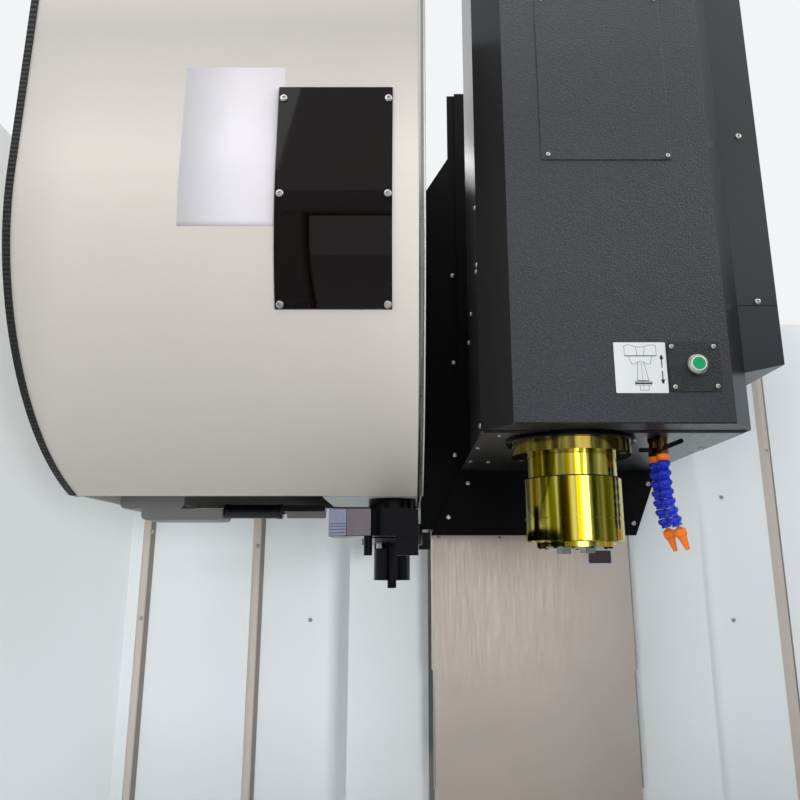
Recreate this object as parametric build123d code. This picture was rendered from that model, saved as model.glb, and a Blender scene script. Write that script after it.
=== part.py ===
from build123d import *
import math
import os

os.makedirs("parts", exist_ok=True)

# Vertical machining centre with an arm-type tool changer and a sheet-metal enclosure.
# X runs to the right, Y to the back and Z up, in millimetres. The machine is laid out about the spindle
# axis, with the floor at Z = 0, and each piece is moved to the middle of the footprint when it is written.

# Travels of the axes, from the rest position shown in the photograph
x_travel = 300.0
y_travel = 200.0
head_drop = 490.0
head_rise = 60.0

# Fits and clearances
running = 0.05
gap = 0.3
screw_clearance = 0.4
slide_clearance = 0.5
passing_gap = 10.0

# Linear guides, ball screws and servo motors
rail_width = 34.0
rail_height = 29.0
rail_waist = 4.0
carriage_height = 45.0
carriage_float = 7.0
carriage_width = 80.0
carriage_length = 110.0
head_nut_z = 1890.0
screw_radius = 18.0
nut_wall = 15.0
nut_length = 80.0
bearing_block = 50.0
motor_width = 130.0
motor_length = 200.0

# Base, saddle and table
foot_height = 60.0
foot_radius = 60.0
base_half_width = 470.0
base_front = -600.0
base_shoulder = 330.0
base_rail_seat = 520.0
base_trough = 465.0
base_wall = 30.0
y_rail_x = 230.0
base_side_gap = 65.0
saddle_carriage_y = 150.0
saddle_half_depth = 230.0
saddle_height = 135.0
saddle_wall = 40.0
x_rail_y = 130.0
table_carriage_x = 140.0
rail_end = 5.0
table_half_length = 425.0
table_half_depth = 200.0
table_height = 155.0
table_thickness = 90.0
slot_pitch = 125.0
slot_width = 18.0
slot_neck = 22.0
slot_foot_width = 30.0
slot_foot = 12.0

# Column
column_front = 520.0
column_depth = 440.0
column_half_top = 240.0
column_half_base = 340.0
column_waist = 1500.0
column_shoulder = 760.0
column_rib = 1030.0
column_upper_rib = 1925.0
column_seat = 560.0
column_spare = 175.0
column_wall = 35.0
z_rail_x = 150.0
z_rail_spare = 35.0

# Spindle cartridge and shaft, heights counted up from the spindle face
spindle_z = 1500.0
nose_radius = 44.45
taper_radius = 22.225
taper_depth = 65.4
taper_slope = 7 / 24 / 2
nose_ring_radius = 60.0
nose_ring_height = 8.0
housing_radius = 75.0
housing_step = 104.0
housing_neck_radius = 69.5
housing_flange_radius = 93.0
housing_flange_low = 141.0
housing_flange_high = 160.0
housing_top = 480.0
seal_ring_radius = 101.0
front_bearing_bore = 55.0
front_bearing_seat = 35.0
rear_bearing_bore = 50.0
rear_bearing_seat = 32.5
bearing_width = 22.0
drawbar_radius = 12.0
drawbar_stroke = 6.0
key_width = 15.9
key_turn = 18.0

# Head casting and its covers
head_bottom = 1668.0
head_front = -139.0
head_left = -150.0
head_right = 250.0
head_corner_x = 42.0
head_corner_y = 51.0
head_cover_back = 102.0
motor_headroom = 68.0
cover_sheet = 2.0
casting_half_width = 120.0
casting_front = -105.0
pad_half_width = 200.0
guard_front = 376.0
guard_depth = 9.0
guard_bottom = 1536.0
guard_top = 2560.0
guard_low_left = -211.0
guard_low_right = 207.0
guard_side = 10.0
backing_left = -232.0
backing_inset = 6.0
backing_neck = -167.0
backing_shoulder = 2288.0
backing_slant = 106.0
duct_width = 66.0
duct_front = -80.0
duct_back = 300.0
duct_bottom = 1757.0
duct_slant = 14.0
button_x = 158.0
button_z = 1754.0
button_radius = 11.2
button_travel = 4.0
button_plate_width = 75.0
button_plate_height = 74.0
bezel_radius = 14.5
bezel_height = 6.0
switch_length = 35.0

# Telescopic way cover of the Z axis
way_cover_half = 210.0
way_cover_y = 440.0
way_sheet = 1.5
way_cover_low = 840.0
way_middle_low = 1050.0
way_middle_high = 1335.0
way_upper_low = 1270.0
way_lap = 10.0

# Coolant valves and segmented hoses
valve_places = [(133.0, -40.0), (130.0, -10.0)]
hose_tilts = (1.9, 1.5)
lever_rises = (22.0, 0.0)
lever_reach = 29.0
valve_radius = 9.0
valve_drop = 28.0
stem_drop = 20.0
segment_pitch = 14.3
segment_count = 7
segment_radius = 10.0
nozzle_length = 37.0

# Tool magazine
magazine_left = -759.0
magazine_right = -235.0
magazine_y = 73.0
magazine_z = 1956.0
drum_radius = 400.0
drum_cut = 1575.5
drum_roof = 2396.0
drum_corner = 120.0
pot_count = 24
pot_circle = 310.0
pot_pivot_x = -566.0
pot_reach = 110.0
pot_back = 30.0
pot_radius = 34.0
pot_bore = 23.0
pot_pin = 4.0
disc_x = -545.0
disc_thickness = 12.0
disc_radius = 255.0
stub_radius = 25.0
bracket_x = -410.0
bracket_plate = 20.0
bracket_z = (1780.0, 2030.0)
tray_front = 112.0
tray_back = 186.0
tray_corner = 9.0
upper_tray_bottom = 1569.0
upper_tray_end = -640.0
lower_tray_bottom = 1550.0
lower_tray_x = (-712.0, -575.0)
pot_cylinder_y = 135.0
pot_cylinder_radius = 11.5
pot_cylinder_length = 100.0
pot_cylinder_rise = 4.0

# Tool arm
arm_x = -283.0
arm_y = 36.5
arm_reach = 285.4
arm_bottom = 1506.0
arm_thickness = 32.0
arm_half_width = 28.0
grip_radius = 46.0
grip_bore = 29.0
finger_left = -68.0
finger_right = -16.0
finger_front = 42.0
finger_back = 22.0
finger_slope_x = 22.0
finger_slope_y = 12.0
jaw_right = 38.0
jaw_front = 46.0
jaw_corner = 14.0
guide_drop = 22.0
guide_width = 26.0
plunger_radius = 5.0
hub_radius = 48.0
cap_radius = 28.5
cap_height = 54.0
cap_stud = 12.0
stud_radius = 7.0
arm_shaft_radius = 28.0
quill_radius = 38.0
quill_held = 28.0
arm_plunge = 135.0
cam_box_top = 1830.0

# Enclosure
wall_x = 900.0
skin_x = 960.0
wall_front = -870.0
wall_back = 600.0
wall_top = 2150.0
rear_wall_top = 2062.0
wall_sheet = 2.0
ridge_half = 13.0
ridge_flat = 5.0
ridge_depth = 11.0
left_ridges = (605.0, 861.0)
right_ridges = (595.0, 861.0)
wall_bottom = 120.0
chute_low = 290.0
chute_high = 620.0
front_y = -920.0
front_sheet = 3.0
front_bottom = 120.0
tank_recess = 430.0
door_half = 465.0
door_bottom = 940.0
door_height = 1070.0
door_travel = 470.0
door_overlap = 5.0
door_thickness = 30.0
door_gap = 7.0
track_height = 12.0
pane_thickness = 6.0
panel_left = 540.0
panel_right = 928.0
panel_bottom = 1080.0
panel_top = 1720.0
panel_depth = 80.0
panel_pivot_x = 942.0
cabinet_half_width = 430.0
cabinet_bottom = 380.0
cabinet_top = 2050.0
cabinet_depth = 320.0
tank_half_width = 600.0
tank_top = 370.0
tank_floor = 25.0
tank_back = -620.0

# Heights and planes that follow from the sizes above
saddle_bottom = base_rail_seat + carriage_height
saddle_top = saddle_bottom + saddle_height
table_bottom = saddle_top + carriage_height
table_top = table_bottom + table_height
plate_bottom = table_top - table_thickness
saddle_half_length = x_travel + table_carriage_x + carriage_length / 2 + rail_end
y_rail_back = y_travel + saddle_carriage_y + carriage_length / 2 + 55
y_rail_front = -y_travel - saddle_carriage_y - carriage_length / 2 - base_side_gap
y_screw_z = base_rail_seat - 5
x_screw_z = saddle_top + 15
column_back = column_front + column_depth
head_mount_y = column_front - carriage_height
casting_bottom = head_bottom + cover_sheet
casting_top = spindle_z + housing_top
pad_bottom = casting_bottom - 70
upper_carriage_z = casting_top + 80
lower_carriage_z = pad_bottom + 100
column_top = upper_carriage_z + carriage_length / 2 + head_rise + column_spare
z_rail_bottom = lower_carriage_z - carriage_length / 2 - head_drop - z_rail_spare
quill_top = drum_cut + 1.5 + arm_plunge + quill_held
spindle_motor_low = 700.0
spindle_motor_length = 300.0
spindle_encoder = 50.0
head_cover_top = spindle_z + spindle_motor_low + spindle_motor_length + spindle_encoder + motor_headroom
pad_front = guard_front + guard_depth + cover_sheet
guard_back = guard_front + guard_depth
cabinet_back = column_back + cabinet_depth
panel_back = front_y - 10
panel_front = panel_back - panel_depth
middle_y = (panel_front + cabinet_back) / 2


def block(x, y, z):
    """A box between two X, two Y and two Z values."""
    size = Box(x[1] - x[0], y[1] - y[0], z[1] - z[0])
    return Pos((x[0] + x[1]) / 2, (y[0] + y[1]) / 2, (z[0] + z[1]) / 2) * size


def along_x(points, x):
    """A prism along X from an outline of (Y, Z) points."""
    outline = make_face(Polyline(*[(x[0], a, b) for a, b in points], close=True))
    return extrude(outline, x[1] - x[0], dir=(1, 0, 0))


def along_y(points, y):
    """A prism along Y from an outline of (X, Z) points."""
    outline = make_face(Polyline(*[(a, y[0], b) for a, b in points], close=True))
    return extrude(outline, y[1] - y[0], dir=(0, 1, 0))


def along_z(points, z):
    """A prism along Z from an outline of (X, Y) points."""
    outline = make_face(Polyline(*[(a, b, z[0]) for a, b in points], close=True))
    return extrude(outline, z[1] - z[0], dir=(0, 0, 1))


def rod_x(radius, x, y, z):
    return Pos((x[0] + x[1]) / 2, y, z) * Rot(0, 90, 0) * Cylinder(radius, x[1] - x[0])


def rod_y(radius, x, y, z):
    return Pos(x, (y[0] + y[1]) / 2, z) * Rot(90, 0, 0) * Cylinder(radius, y[1] - y[0])


def rod_z(radius, x, y, z):
    return Pos(x, y, (z[0] + z[1]) / 2) * Cylinder(radius, z[1] - z[0])


def turned(points):
    """A turned piece about the Z axis, from an outline of (radius, height) points."""
    outline = make_face(Polyline(*[(r, 0, z) for r, z in points], close=True))
    return revolve(outline, Axis.Z)


def faceted(points, sides):
    """A piece with regular polygons as sections, from (radius, height) points."""
    sections = [Pos(0, 0, z) * RegularPolygon(r, sides) for r, z in points]
    return loft(sections, ruled=True)


def folded(points, thickness):
    """The outline of a folded sheet: its fold line and that line offset to its left by the thickness."""
    normals = []
    for a, b in zip(points, points[1:]):
        length = math.dist(a, b)
        normals.append(((a[1] - b[1]) / length, (b[0] - a[0]) / length))
    other = []
    for i, point in enumerate(points):
        n = normals[max(i - 1, 0)]
        m = normals[min(i, len(normals) - 1)]
        k = thickness / (1 + n[0] * m[0] + n[1] * m[1])
        other.append((point[0] + k * (n[0] + m[0]), point[1] + k * (n[1] + m[1])))
    return points + other[::-1]


def mirrored(shape):
    """The same piece on the other side of the machine's middle plane."""
    return mirror(shape, about=Plane.YZ)


def group(*shapes):
    """Separate solids that share one node."""
    return Compound([solid for shape in shapes for solid in shape.solids()])


def write(name, shape):
    export_step(Pos(0, -middle_y, 0) * shape, f"parts/{name}.step")


# Linear guides: the section of a profile rail, and the carriage that straddles it

def rail_outline(centre, seat, outward=1):
    half = rail_width / 2
    waist = half - rail_waist
    side = [(half, 0), (half, 0.3), (waist, 0.45), (waist, 0.6), (half, 0.8), (half, 1)]
    right = [(centre + u, seat + outward * rail_height * v) for u, v in side]
    left = [(centre - u, seat + outward * rail_height * v) for u, v in side[::-1]]
    return right + left


def carriage_outline(centre, seat, outward=1):
    half = rail_width / 2 + slide_clearance
    slot = rail_height + slide_clearance
    corners = [(carriage_width / 2, carriage_float), (carriage_width / 2, carriage_height)]
    corners += [(-u, v) for u, v in corners[::-1]]
    corners += [(-half, carriage_float), (-half, slot), (half, slot), (half, carriage_float)]
    return [(centre + u, seat + outward * v) for u, v in corners]


def servo_motor(width, length):
    """A servo motor standing on Z = 0: flange, square body and rear encoder cap with its socket."""
    half = width / 2
    flange = block((-half, half), (-half, half), (0, 12))
    body = block((-half + 6, half - 6), (-half + 6, half - 6), (12, length - 45))
    body = chamfer(body.edges().filter_by(Axis.Z), 8)
    cap = block((-half + 14, half - 14), (-half + 14, half - 14), (length - 45, length))
    plug = block((half - 14, half + 6), (-18, 18), (length - 40, length - 12))
    return flange + body + cap + plug


# Levelling feet

foot_places = [(x, y) for x in (-380, 380) for y in (-520, 180, 880)]
feet = []
for foot_x, foot_y in foot_places:
    pad = Pos(foot_x, foot_y, 0) * faceted([(foot_radius, 0), (foot_radius, 8), (foot_radius - 12, 20)], 24)
    stem = rod_z(14, foot_x, foot_y, (20, foot_height - 15))
    nut = Pos(foot_x, foot_y, foot_height - 15) * extrude(RegularPolygon(26, 6), 15)
    feet.append(pad + stem + nut)
write("leveling_feet", group(*feet))


# Base casting: two rail pads over chip troughs, a seat for the column and ribbed cells underneath

half_profile = [
    (base_half_width, foot_height), (base_half_width, base_shoulder), (y_rail_x + 110, base_trough),
    (y_rail_x + 50, base_trough), (y_rail_x + 50, base_rail_seat), (y_rail_x - 50, base_rail_seat),
    (y_rail_x - 50, base_trough),
]
base_outline = half_profile + [(-x, z) for x, z in half_profile[::-1]]
base = along_y(base_outline, (base_front, column_back))
seat_front = column_front - 20
base += block((-column_half_base, column_half_base), (seat_front, column_back), (foot_height, column_seat))
cell_rows = 3
cell_top = 300.0
cell_pitch = (column_back - base_front - base_wall) / cell_rows
for row in range(cell_rows):
    cell_y = base_front + base_wall + row * cell_pitch
    for side in (-1, 1):
        near = side * base_wall / 2
        far = side * (base_half_width - base_wall)
        cell_x = (min(near, far), max(near, far))
        base -= block(cell_x, (cell_y, cell_y + cell_pitch - base_wall), (foot_height, cell_top))
motor_half = motor_width / 2
front_block = (base_front, base_front + bearing_block)
rear_block = (y_rail_back - bearing_block, y_rail_back)
base += block((-motor_half, motor_half), front_block, (base_trough, y_screw_z + motor_half))
base += block((-motor_half, motor_half), rear_block, (base_trough, saddle_bottom - passing_gap))
base -= rod_y(screw_radius + screw_clearance, 0, (base_front, y_rail_back), y_screw_z)
for foot_x, foot_y in foot_places:
    lug_x = (foot_x - 45, foot_x + 45)
    base += block(lug_x, (foot_y - 45, foot_y + 45), (foot_height, cell_top))
write("base_casting", base)


# Rails of the Y axis on the base and of the Z axis on the column

rails = []
for side in (-1, 1):
    rails.append(along_y(rail_outline(side * y_rail_x, base_rail_seat), (y_rail_front, y_rail_back)))
    rails.append(along_z(rail_outline(side * z_rail_x, column_front, -1), (z_rail_bottom, column_top - 20)))
write("linear_rails", group(*rails))


# Ball screws, plain outside because their thread is fine

y_screw = rod_y(screw_radius, 0, (base_front + gap, y_rail_back), y_screw_z)
write("y_ballscrew", y_screw)


# Saddle: a flat casting with carriages below, rail seats above and a channel for the X screw

saddle_x = (-saddle_half_length, saddle_half_length)
saddle_y = (-saddle_half_depth, saddle_half_depth)
saddle = block(saddle_x, saddle_y, (saddle_bottom, saddle_top))
saddle = chamfer(saddle.edges().filter_by(Axis.Z), 30)
nut_half = screw_radius + nut_wall
channel_bottom = x_screw_z - nut_half - 5
saddle -= block(saddle_x, (-60, 60), (channel_bottom, saddle_top))
pocket_ends = (y_rail_x + 60, saddle_half_length - saddle_wall)
pocket_y = (-saddle_half_depth + saddle_wall, saddle_half_depth - saddle_wall)
for side in (-1, 1):
    pocket = block(pocket_ends, pocket_y, (saddle_bottom, saddle_bottom + 60))
    seat_x = (saddle_half_length - bearing_block, saddle_half_length)
    seat = block(seat_x, (-45, 45), (channel_bottom, x_screw_z + 30))
    saddle -= pocket if side > 0 else mirrored(pocket)
    saddle += seat if side > 0 else mirrored(seat)
    for place in (-1, 1):
        start = place * saddle_carriage_y - carriage_length / 2
        span = (start, start + carriage_length)
        saddle += along_y(carriage_outline(side * y_rail_x, base_rail_seat), span)
saddle += block((-45, 45), (-nut_length / 2, nut_length / 2), (y_screw_z - nut_half, saddle_bottom))
saddle -= rod_y(screw_radius + screw_clearance, 0, (-nut_length, nut_length), y_screw_z)
saddle -= rod_x(screw_radius + screw_clearance, (-saddle_half_length + 10, saddle_half_length), 0, x_screw_z)
write("saddle_casting", saddle)

rail_x = (-saddle_half_length + rail_end, saddle_half_length - rail_end)
x_rails = [along_x(rail_outline(side * x_rail_y, saddle_top), rail_x) for side in (-1, 1)]
write("x_rails", group(*x_rails))
x_screw = rod_x(screw_radius, (-saddle_half_length + 10 + gap, saddle_half_length), 0, x_screw_z)
write("x_ballscrew", x_screw)


# Table: T-slotted plate on two pads with carriages and the nut block of the X screw

table_x = (-table_half_length, table_half_length)
table_y = (-table_half_depth, table_half_depth)
table = block(table_x, table_y, (plate_bottom, table_top))
table = chamfer(table.edges().filter_by(Axis.Z), 15)
slot_places = (-slot_pitch, 0.0, slot_pitch)
for slot_y in slot_places:
    neck = (slot_y - slot_width / 2, slot_y + slot_width / 2)
    foot = (slot_y - slot_foot_width / 2, slot_y + slot_foot_width / 2)
    table -= block(table_x, neck, (table_top - slot_neck, table_top))
    table -= block(table_x, foot, (table_top - slot_neck - slot_foot, table_top - slot_neck))
for side in (-1, 1):
    pad = (side * x_rail_y - 45, side * x_rail_y + 45)
    table += block((-table_half_length / 2, table_half_length / 2), pad, (table_bottom, plate_bottom))
    for place in (-1, 1):
        start = place * table_carriage_x - carriage_length / 2
        table += along_x(carriage_outline(side * x_rail_y, saddle_top), (start, start + carriage_length))
table += block((-nut_length / 2, nut_length / 2), (-40, 40), (x_screw_z - nut_half, plate_bottom))
table -= rod_x(screw_radius + screw_clearance, (-nut_length, nut_length), 0, x_screw_z)
write("table", table)


# Servo motors: Y and Z axes and tool changer on the frame, X axis on the saddle

servo = servo_motor(motor_width, motor_length)
y_motor = Pos(0, base_front, y_screw_z) * Rot(90, 0, 0) * servo
z_motor = Pos(0, column_front, column_top + 10) * servo
changer_motor = Pos(arm_x - 35, 80, cam_box_top) * servo_motor(110, 220)
write("servo_motors", group(y_motor, z_motor, changer_motor))
write("x_motor", Pos(saddle_half_length, 0, x_screw_z) * Rot(0, 90, 0) * servo)


# Column: a tapered box with cored cells, a channel for the Z screw and its end bearings

half_column = [
    (column_half_base, column_seat), (column_half_base, column_shoulder),
    (column_half_top, column_waist), (column_half_top, column_top),
]
column_outline = half_column + [(-x, z) for x, z in half_column[::-1]]
column = along_y(column_outline, (column_front, column_back))
column_taper = (column_half_base - column_half_top) / (column_waist - column_shoulder)
cell_heights = [column_seat, column_rib, column_waist, column_upper_rib, column_top]
core_front = column_front + 100


def column_half(z):
    """Half the width of the column at a height."""
    return column_half_base - column_taper * min(max(z - column_shoulder, 0), column_waist - column_shoulder)


for low, high in zip(cell_heights, cell_heights[1:]):
    levels = [low + column_wall, high - column_wall]
    levels += [column_shoulder] if low < column_shoulder < high else []
    cell = [(column_half(z) - column_wall, z) for z in sorted(levels)]
    cell += [(-x, z) for x, z in cell[::-1]]
    core_back = column_back if high < column_top else column_back - column_wall
    column -= along_y(cell, (core_front, core_back))
core_hole_z = (cell_heights[-2] + column_top) / 2
column -= rod_y(70, 0, (core_front, column_back), core_hole_z)
column -= block((-70, 70), (column_front, column_front + 50), (z_rail_bottom - 60, column_top))
column += block((-70, 70), (column_front - 30, column_front + 60), (z_rail_bottom - 60, z_rail_bottom - 20))
top_plate = (column_top - 15, column_top + 10)
top_half = motor_half + 10
column += block((-top_half, top_half), (column_front - motor_half, column_front + 80), top_plate)
column -= rod_z(screw_radius + screw_clearance, 0, column_front, (z_rail_bottom - 50, column_top + 10))
write("column_casting", column)
z_screw = rod_z(screw_radius, 0, column_front, (z_rail_bottom - 50 + gap, column_top + 10))
write("z_ballscrew", z_screw)


# Head casting: spindle box, rear pad with carriages and nut block

casting_x = (-casting_half_width, casting_half_width)
head = block(casting_x, (casting_front, pad_front), (casting_bottom, casting_top))
head = chamfer(head.edges().filter_by(Axis.Z).sort_by(Axis.Y)[:2], 35)
head += block((-pad_half_width, pad_half_width), (pad_front, head_mount_y), (pad_bottom, casting_top + 200))
web = [(pad_front, casting_top), (pad_front, casting_top + 180), (130, casting_top)]
for side in (-1, 1):
    web_x = (60, 90) if side > 0 else (-90, -60)
    head += along_x(web, web_x)
    for place in (lower_carriage_z, upper_carriage_z):
        span = (place - carriage_length / 2, place + carriage_length / 2)
        head += along_z(carriage_outline(side * z_rail_x, column_front, -1), span)
nut_z = (head_nut_z - nut_length / 2, head_nut_z + nut_length / 2)
head += block((-50, 50), (head_mount_y, column_front + nut_half), nut_z)
nut_bore = (head_nut_z - nut_length, head_nut_z + nut_length)
head -= rod_z(screw_radius + screw_clearance, 0, column_front, nut_bore)
head -= rod_z(housing_radius + 2 * running, 0, 0, (casting_bottom, casting_top))
write("head_casting", head)


# Head covers: front sheet with a top and a bottom return, and a folded cover on each side

front_left = head_left + head_corner_x
front_right = head_right - head_corner_x
corner_back = head_front + head_corner_y
inside = head_front + cover_sheet
front_cover = block((front_left, front_right), (head_front, inside), (head_bottom, head_cover_top))
lid_outline = [
    (front_left + cover_sheet, inside), (front_right - cover_sheet, inside),
    (head_right - 2 * cover_sheet, corner_back),
    (head_right - 2 * cover_sheet, head_cover_back), (head_left + 2 * cover_sheet, head_cover_back),
    (head_left + 2 * cover_sheet, corner_back),
]
front_cover += along_z(lid_outline, (head_cover_top - cover_sheet, head_cover_top))
lip_outline = lid_outline[:3] + lid_outline[5:]
front_cover += along_z(lip_outline, (head_bottom, head_bottom + cover_sheet))
front_cover -= rod_y(button_radius + gap, button_x, (head_front, inside), button_z)
front_cover -= rod_z(seal_ring_radius + gap, 0, 0, (head_bottom, casting_bottom))
write("head_front_cover", front_cover)

left_fold = [(front_left, head_front), (head_left, corner_back), (head_left, head_cover_back)]
right_fold = [(front_right, head_front), (head_right, corner_back), (head_right, head_cover_back)]
left_cover = along_z(folded(left_fold, -cover_sheet), (head_bottom, head_cover_top))
right_cover = along_z(folded(right_fold, cover_sheet), (head_bottom, head_cover_top))
front_slab = block((front_left, front_right), (head_front - 1, inside), (head_bottom, head_cover_top))
write("head_side_covers", group(left_cover - front_slab, right_cover - front_slab))

plate_inset = cover_sheet + gap
plate_x = (head_left + plate_inset, head_right - plate_inset)
bottom_plate = block(plate_x, (corner_back + 4, guard_front), (head_bottom, casting_bottom))
bottom_plate -= rod_z(seal_ring_radius + gap, 0, 0, (head_bottom, casting_bottom))
write("head_bottom_plate", bottom_plate)


# Rear guard: a flanged black tray behind the head, and a wider backing sheet behind it

guard_slot = casting_half_width + 2
guard_right = head_right + guard_side
casting_slot = [
    (guard_slot, guard_top), (guard_slot, casting_bottom),
    (-guard_slot, casting_bottom), (-guard_slot, guard_top),
]
guard_outline = [
    (guard_low_left, guard_bottom), (guard_low_right, guard_bottom), (guard_right, head_bottom),
    (guard_right, guard_top), *casting_slot, (head_left, guard_top), (head_left, head_bottom),
]
guard = along_y(guard_outline, (guard_front, guard_back))
guard_face = make_face(Polyline(*[(a, guard_front, b) for a, b in guard_outline], close=True))
hollow = offset(guard_face, -cover_sheet)
guard -= Pos(0, cover_sheet, 0) * extrude(hollow, guard_depth, dir=(0, 1, 0))
backing_low = guard_bottom + 2 * backing_inset
backing_outline = [
    (backing_left, backing_low), (guard_low_right - backing_inset / 2, backing_low),
    (guard_right - backing_inset, head_bottom), (guard_right - backing_inset, guard_top), *casting_slot,
    (backing_neck, guard_top), (backing_neck, backing_shoulder + backing_slant),
    (backing_left, backing_shoulder),
]
backing = along_y(backing_outline, (guard_back, pad_front))
write("head_rear_guard", group(guard, backing))


# Side duct: a narrow sheet box on the right of the head with a slanting floor

duct_right = head_right + duct_width
duct_corner = duct_bottom + duct_slant
duct_outline = [
    (head_right, duct_bottom), (duct_right, duct_corner),
    (duct_right, head_cover_top), (head_right, head_cover_top),
]
duct = along_y(duct_outline, (duct_front, duct_back))
duct_hollow = [
    (head_right, duct_bottom + cover_sheet), (duct_right - cover_sheet, duct_corner + cover_sheet),
    (duct_right - cover_sheet, head_cover_top - cover_sheet), (head_right, head_cover_top - cover_sheet),
]
duct -= along_y(duct_hollow, (duct_front + cover_sheet, duct_back - cover_sheet))
write("head_side_duct", duct)


# Tool-release button: plate, bezel and switch body, and the button that travels in them

plate_front = head_front - cover_sheet
bezel_front = plate_front - bezel_height
button_bore = rod_y(button_radius + running, button_x, (bezel_front, inside + switch_length / 2), button_z)
plate_x = (button_x - button_plate_width / 2 - 3, button_x + button_plate_width / 2 - 3)
plate_z = (button_z - button_plate_height / 2 - 2, button_z + button_plate_height / 2 - 2)
button_plate = block(plate_x, (plate_front, head_front), plate_z)
button_plate = fillet(button_plate.edges().filter_by(Axis.Y), 3) - button_bore
bezel = rod_y(bezel_radius, button_x, (bezel_front, plate_front), button_z) - button_bore
switch = rod_y(bezel_radius - 0.5, button_x, (inside, inside + switch_length), button_z) - button_bore
write("release_button_plate", group(button_plate, bezel, switch))
button_front = bezel_front - button_travel + 1
release_button = rod_y(button_radius, button_x, (button_front, inside + 10), button_z)
button_rim = release_button.edges().filter_by(GeomType.CIRCLE).sort_by(Axis.Y)[0]
write("release_button", chamfer(button_rim, 1))


# Spindle housing: nose ring, grooved barrel, neck and flange, with bearing bores inside

def at_spindle(shape):
    return Pos(0, 0, spindle_z) * shape


nose_bore = nose_radius + slide_clearance
bearing_floor = 28.0
bearing_spacer = 4.0
front_bearings_top = bearing_floor + 4 * bearing_width + 3 * bearing_spacer
rear_bearings = 400.0
housing_outline = [
    (nose_bore, 1), (nose_ring_radius, 1), (nose_ring_radius, nose_ring_height),
    (housing_radius - 2, nose_ring_height), (housing_radius, nose_ring_height + 2), (housing_radius, 41.5),
    (housing_radius - 1.2, 41.5), (housing_radius - 1.2, 43.5), (housing_radius, 43.5),
    (housing_radius, housing_step), (housing_neck_radius, housing_step),
    (housing_neck_radius, housing_flange_low), (housing_flange_radius, housing_flange_low),
    (housing_flange_radius, housing_flange_high), (housing_radius, housing_flange_high),
    (housing_radius, housing_top), (nose_bore, housing_top), (nose_bore, rear_bearings + 2 * bearing_width),
    (rear_bearing_bore, rear_bearings + 2 * bearing_width), (rear_bearing_bore, rear_bearings),
    (nose_bore, rear_bearings), (nose_bore, front_bearings_top), (front_bearing_bore, front_bearings_top),
    (front_bearing_bore, bearing_floor), (nose_bore, bearing_floor),
]
housing = turned(housing_outline)
flange_screws = [
    Pos(0, 0, housing_flange_low) * Rot(0, 0, 30 + 60 * i) * Pos(82, 0, 0) * Cylinder(5, 12) for i in range(6)
]
housing -= flange_screws
write("spindle_housing", at_spindle(housing))

seal_outline = [
    (housing_radius + gap, housing_flange_high), (seal_ring_radius - 2, housing_flange_high),
    (seal_ring_radius, housing_flange_high + 2), (seal_ring_radius, casting_bottom - spindle_z),
    (housing_radius + gap, casting_bottom - spindle_z),
]
write("spindle_seal_ring", at_spindle(turned(seal_outline)))


def bearing_pair(bore_radius, seat_radius, low):
    """Two bearings side by side, as one ring."""
    high = low + 2 * bearing_width
    inner = seat_radius + running
    return turned([(inner, low), (bore_radius, low), (bore_radius, high), (inner, high)])


bearing_set = [
    bearing_pair(front_bearing_bore, front_bearing_seat, bearing_floor),
    bearing_pair(front_bearing_bore, front_bearing_seat, bearing_floor + 2 * bearing_width + bearing_spacer),
    bearing_pair(rear_bearing_bore, rear_bearing_seat, rear_bearings),
]
write("spindle_bearings", at_spindle(group(*bearing_set)))


# Spindle shaft: 7/24 taper, collet chamber, spring chamber, cross slot, drive keys and motor journal

pin_z = 566.0
pin_radius = 6.0
journal_radius = 25.0
coupling_low = 625.0
coupling_high = 665.0
shaft_top = spindle_motor_low + 40
small_end = taper_radius - taper_depth * taper_slope
spring_low = 140.0
spring_high = 390.0
bar_bore = drawbar_radius + slide_clearance
bar_room_top = 612.0
spring_room = 21.0
collet_room = 17.0
collet_top = 112.0
shaft_outline = [
    (taper_radius, 0), (nose_radius - 1, 0), (nose_radius, 1), (nose_radius, bearing_floor - 1),
    (front_bearing_seat, bearing_floor - 1), (front_bearing_seat, front_bearings_top),
    (front_bearing_seat - 1, front_bearings_top), (front_bearing_seat - 1, rear_bearings),
    (rear_bearing_seat, rear_bearings), (rear_bearing_seat, rear_bearings + 2 * bearing_width),
    (30, rear_bearings + 2 * bearing_width), (30, coupling_low), (50, coupling_low), (50, coupling_high),
    (journal_radius, coupling_high), (journal_radius, shaft_top), (0, shaft_top), (0, bar_room_top),
    (bar_bore, bar_room_top), (bar_bore, spring_high), (spring_room, spring_high), (spring_room, spring_low),
    (bar_bore, spring_low), (bar_bore, collet_top), (collet_room, collet_top), (collet_room, taper_depth),
    (small_end, taper_depth),
]
shaft = turned(shaft_outline)
pin_room = (pin_z - drawbar_stroke - pin_radius - 1, pin_z + pin_radius + 1)
shaft -= block((-60, 60), (-pin_radius - 0.5, pin_radius + 0.5), pin_room)
for turn in (0, 180):
    key_place = Rot(0, 0, key_turn - 90 + turn)
    shaft += key_place * block((27, nose_radius - 1), (-key_width / 2, key_width / 2), (-8, 0))
write("spindle_shaft", at_spindle(shaft))


# Drawbar: bar with collet and cross pin, and the disc-spring stack that pulls it up

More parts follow.
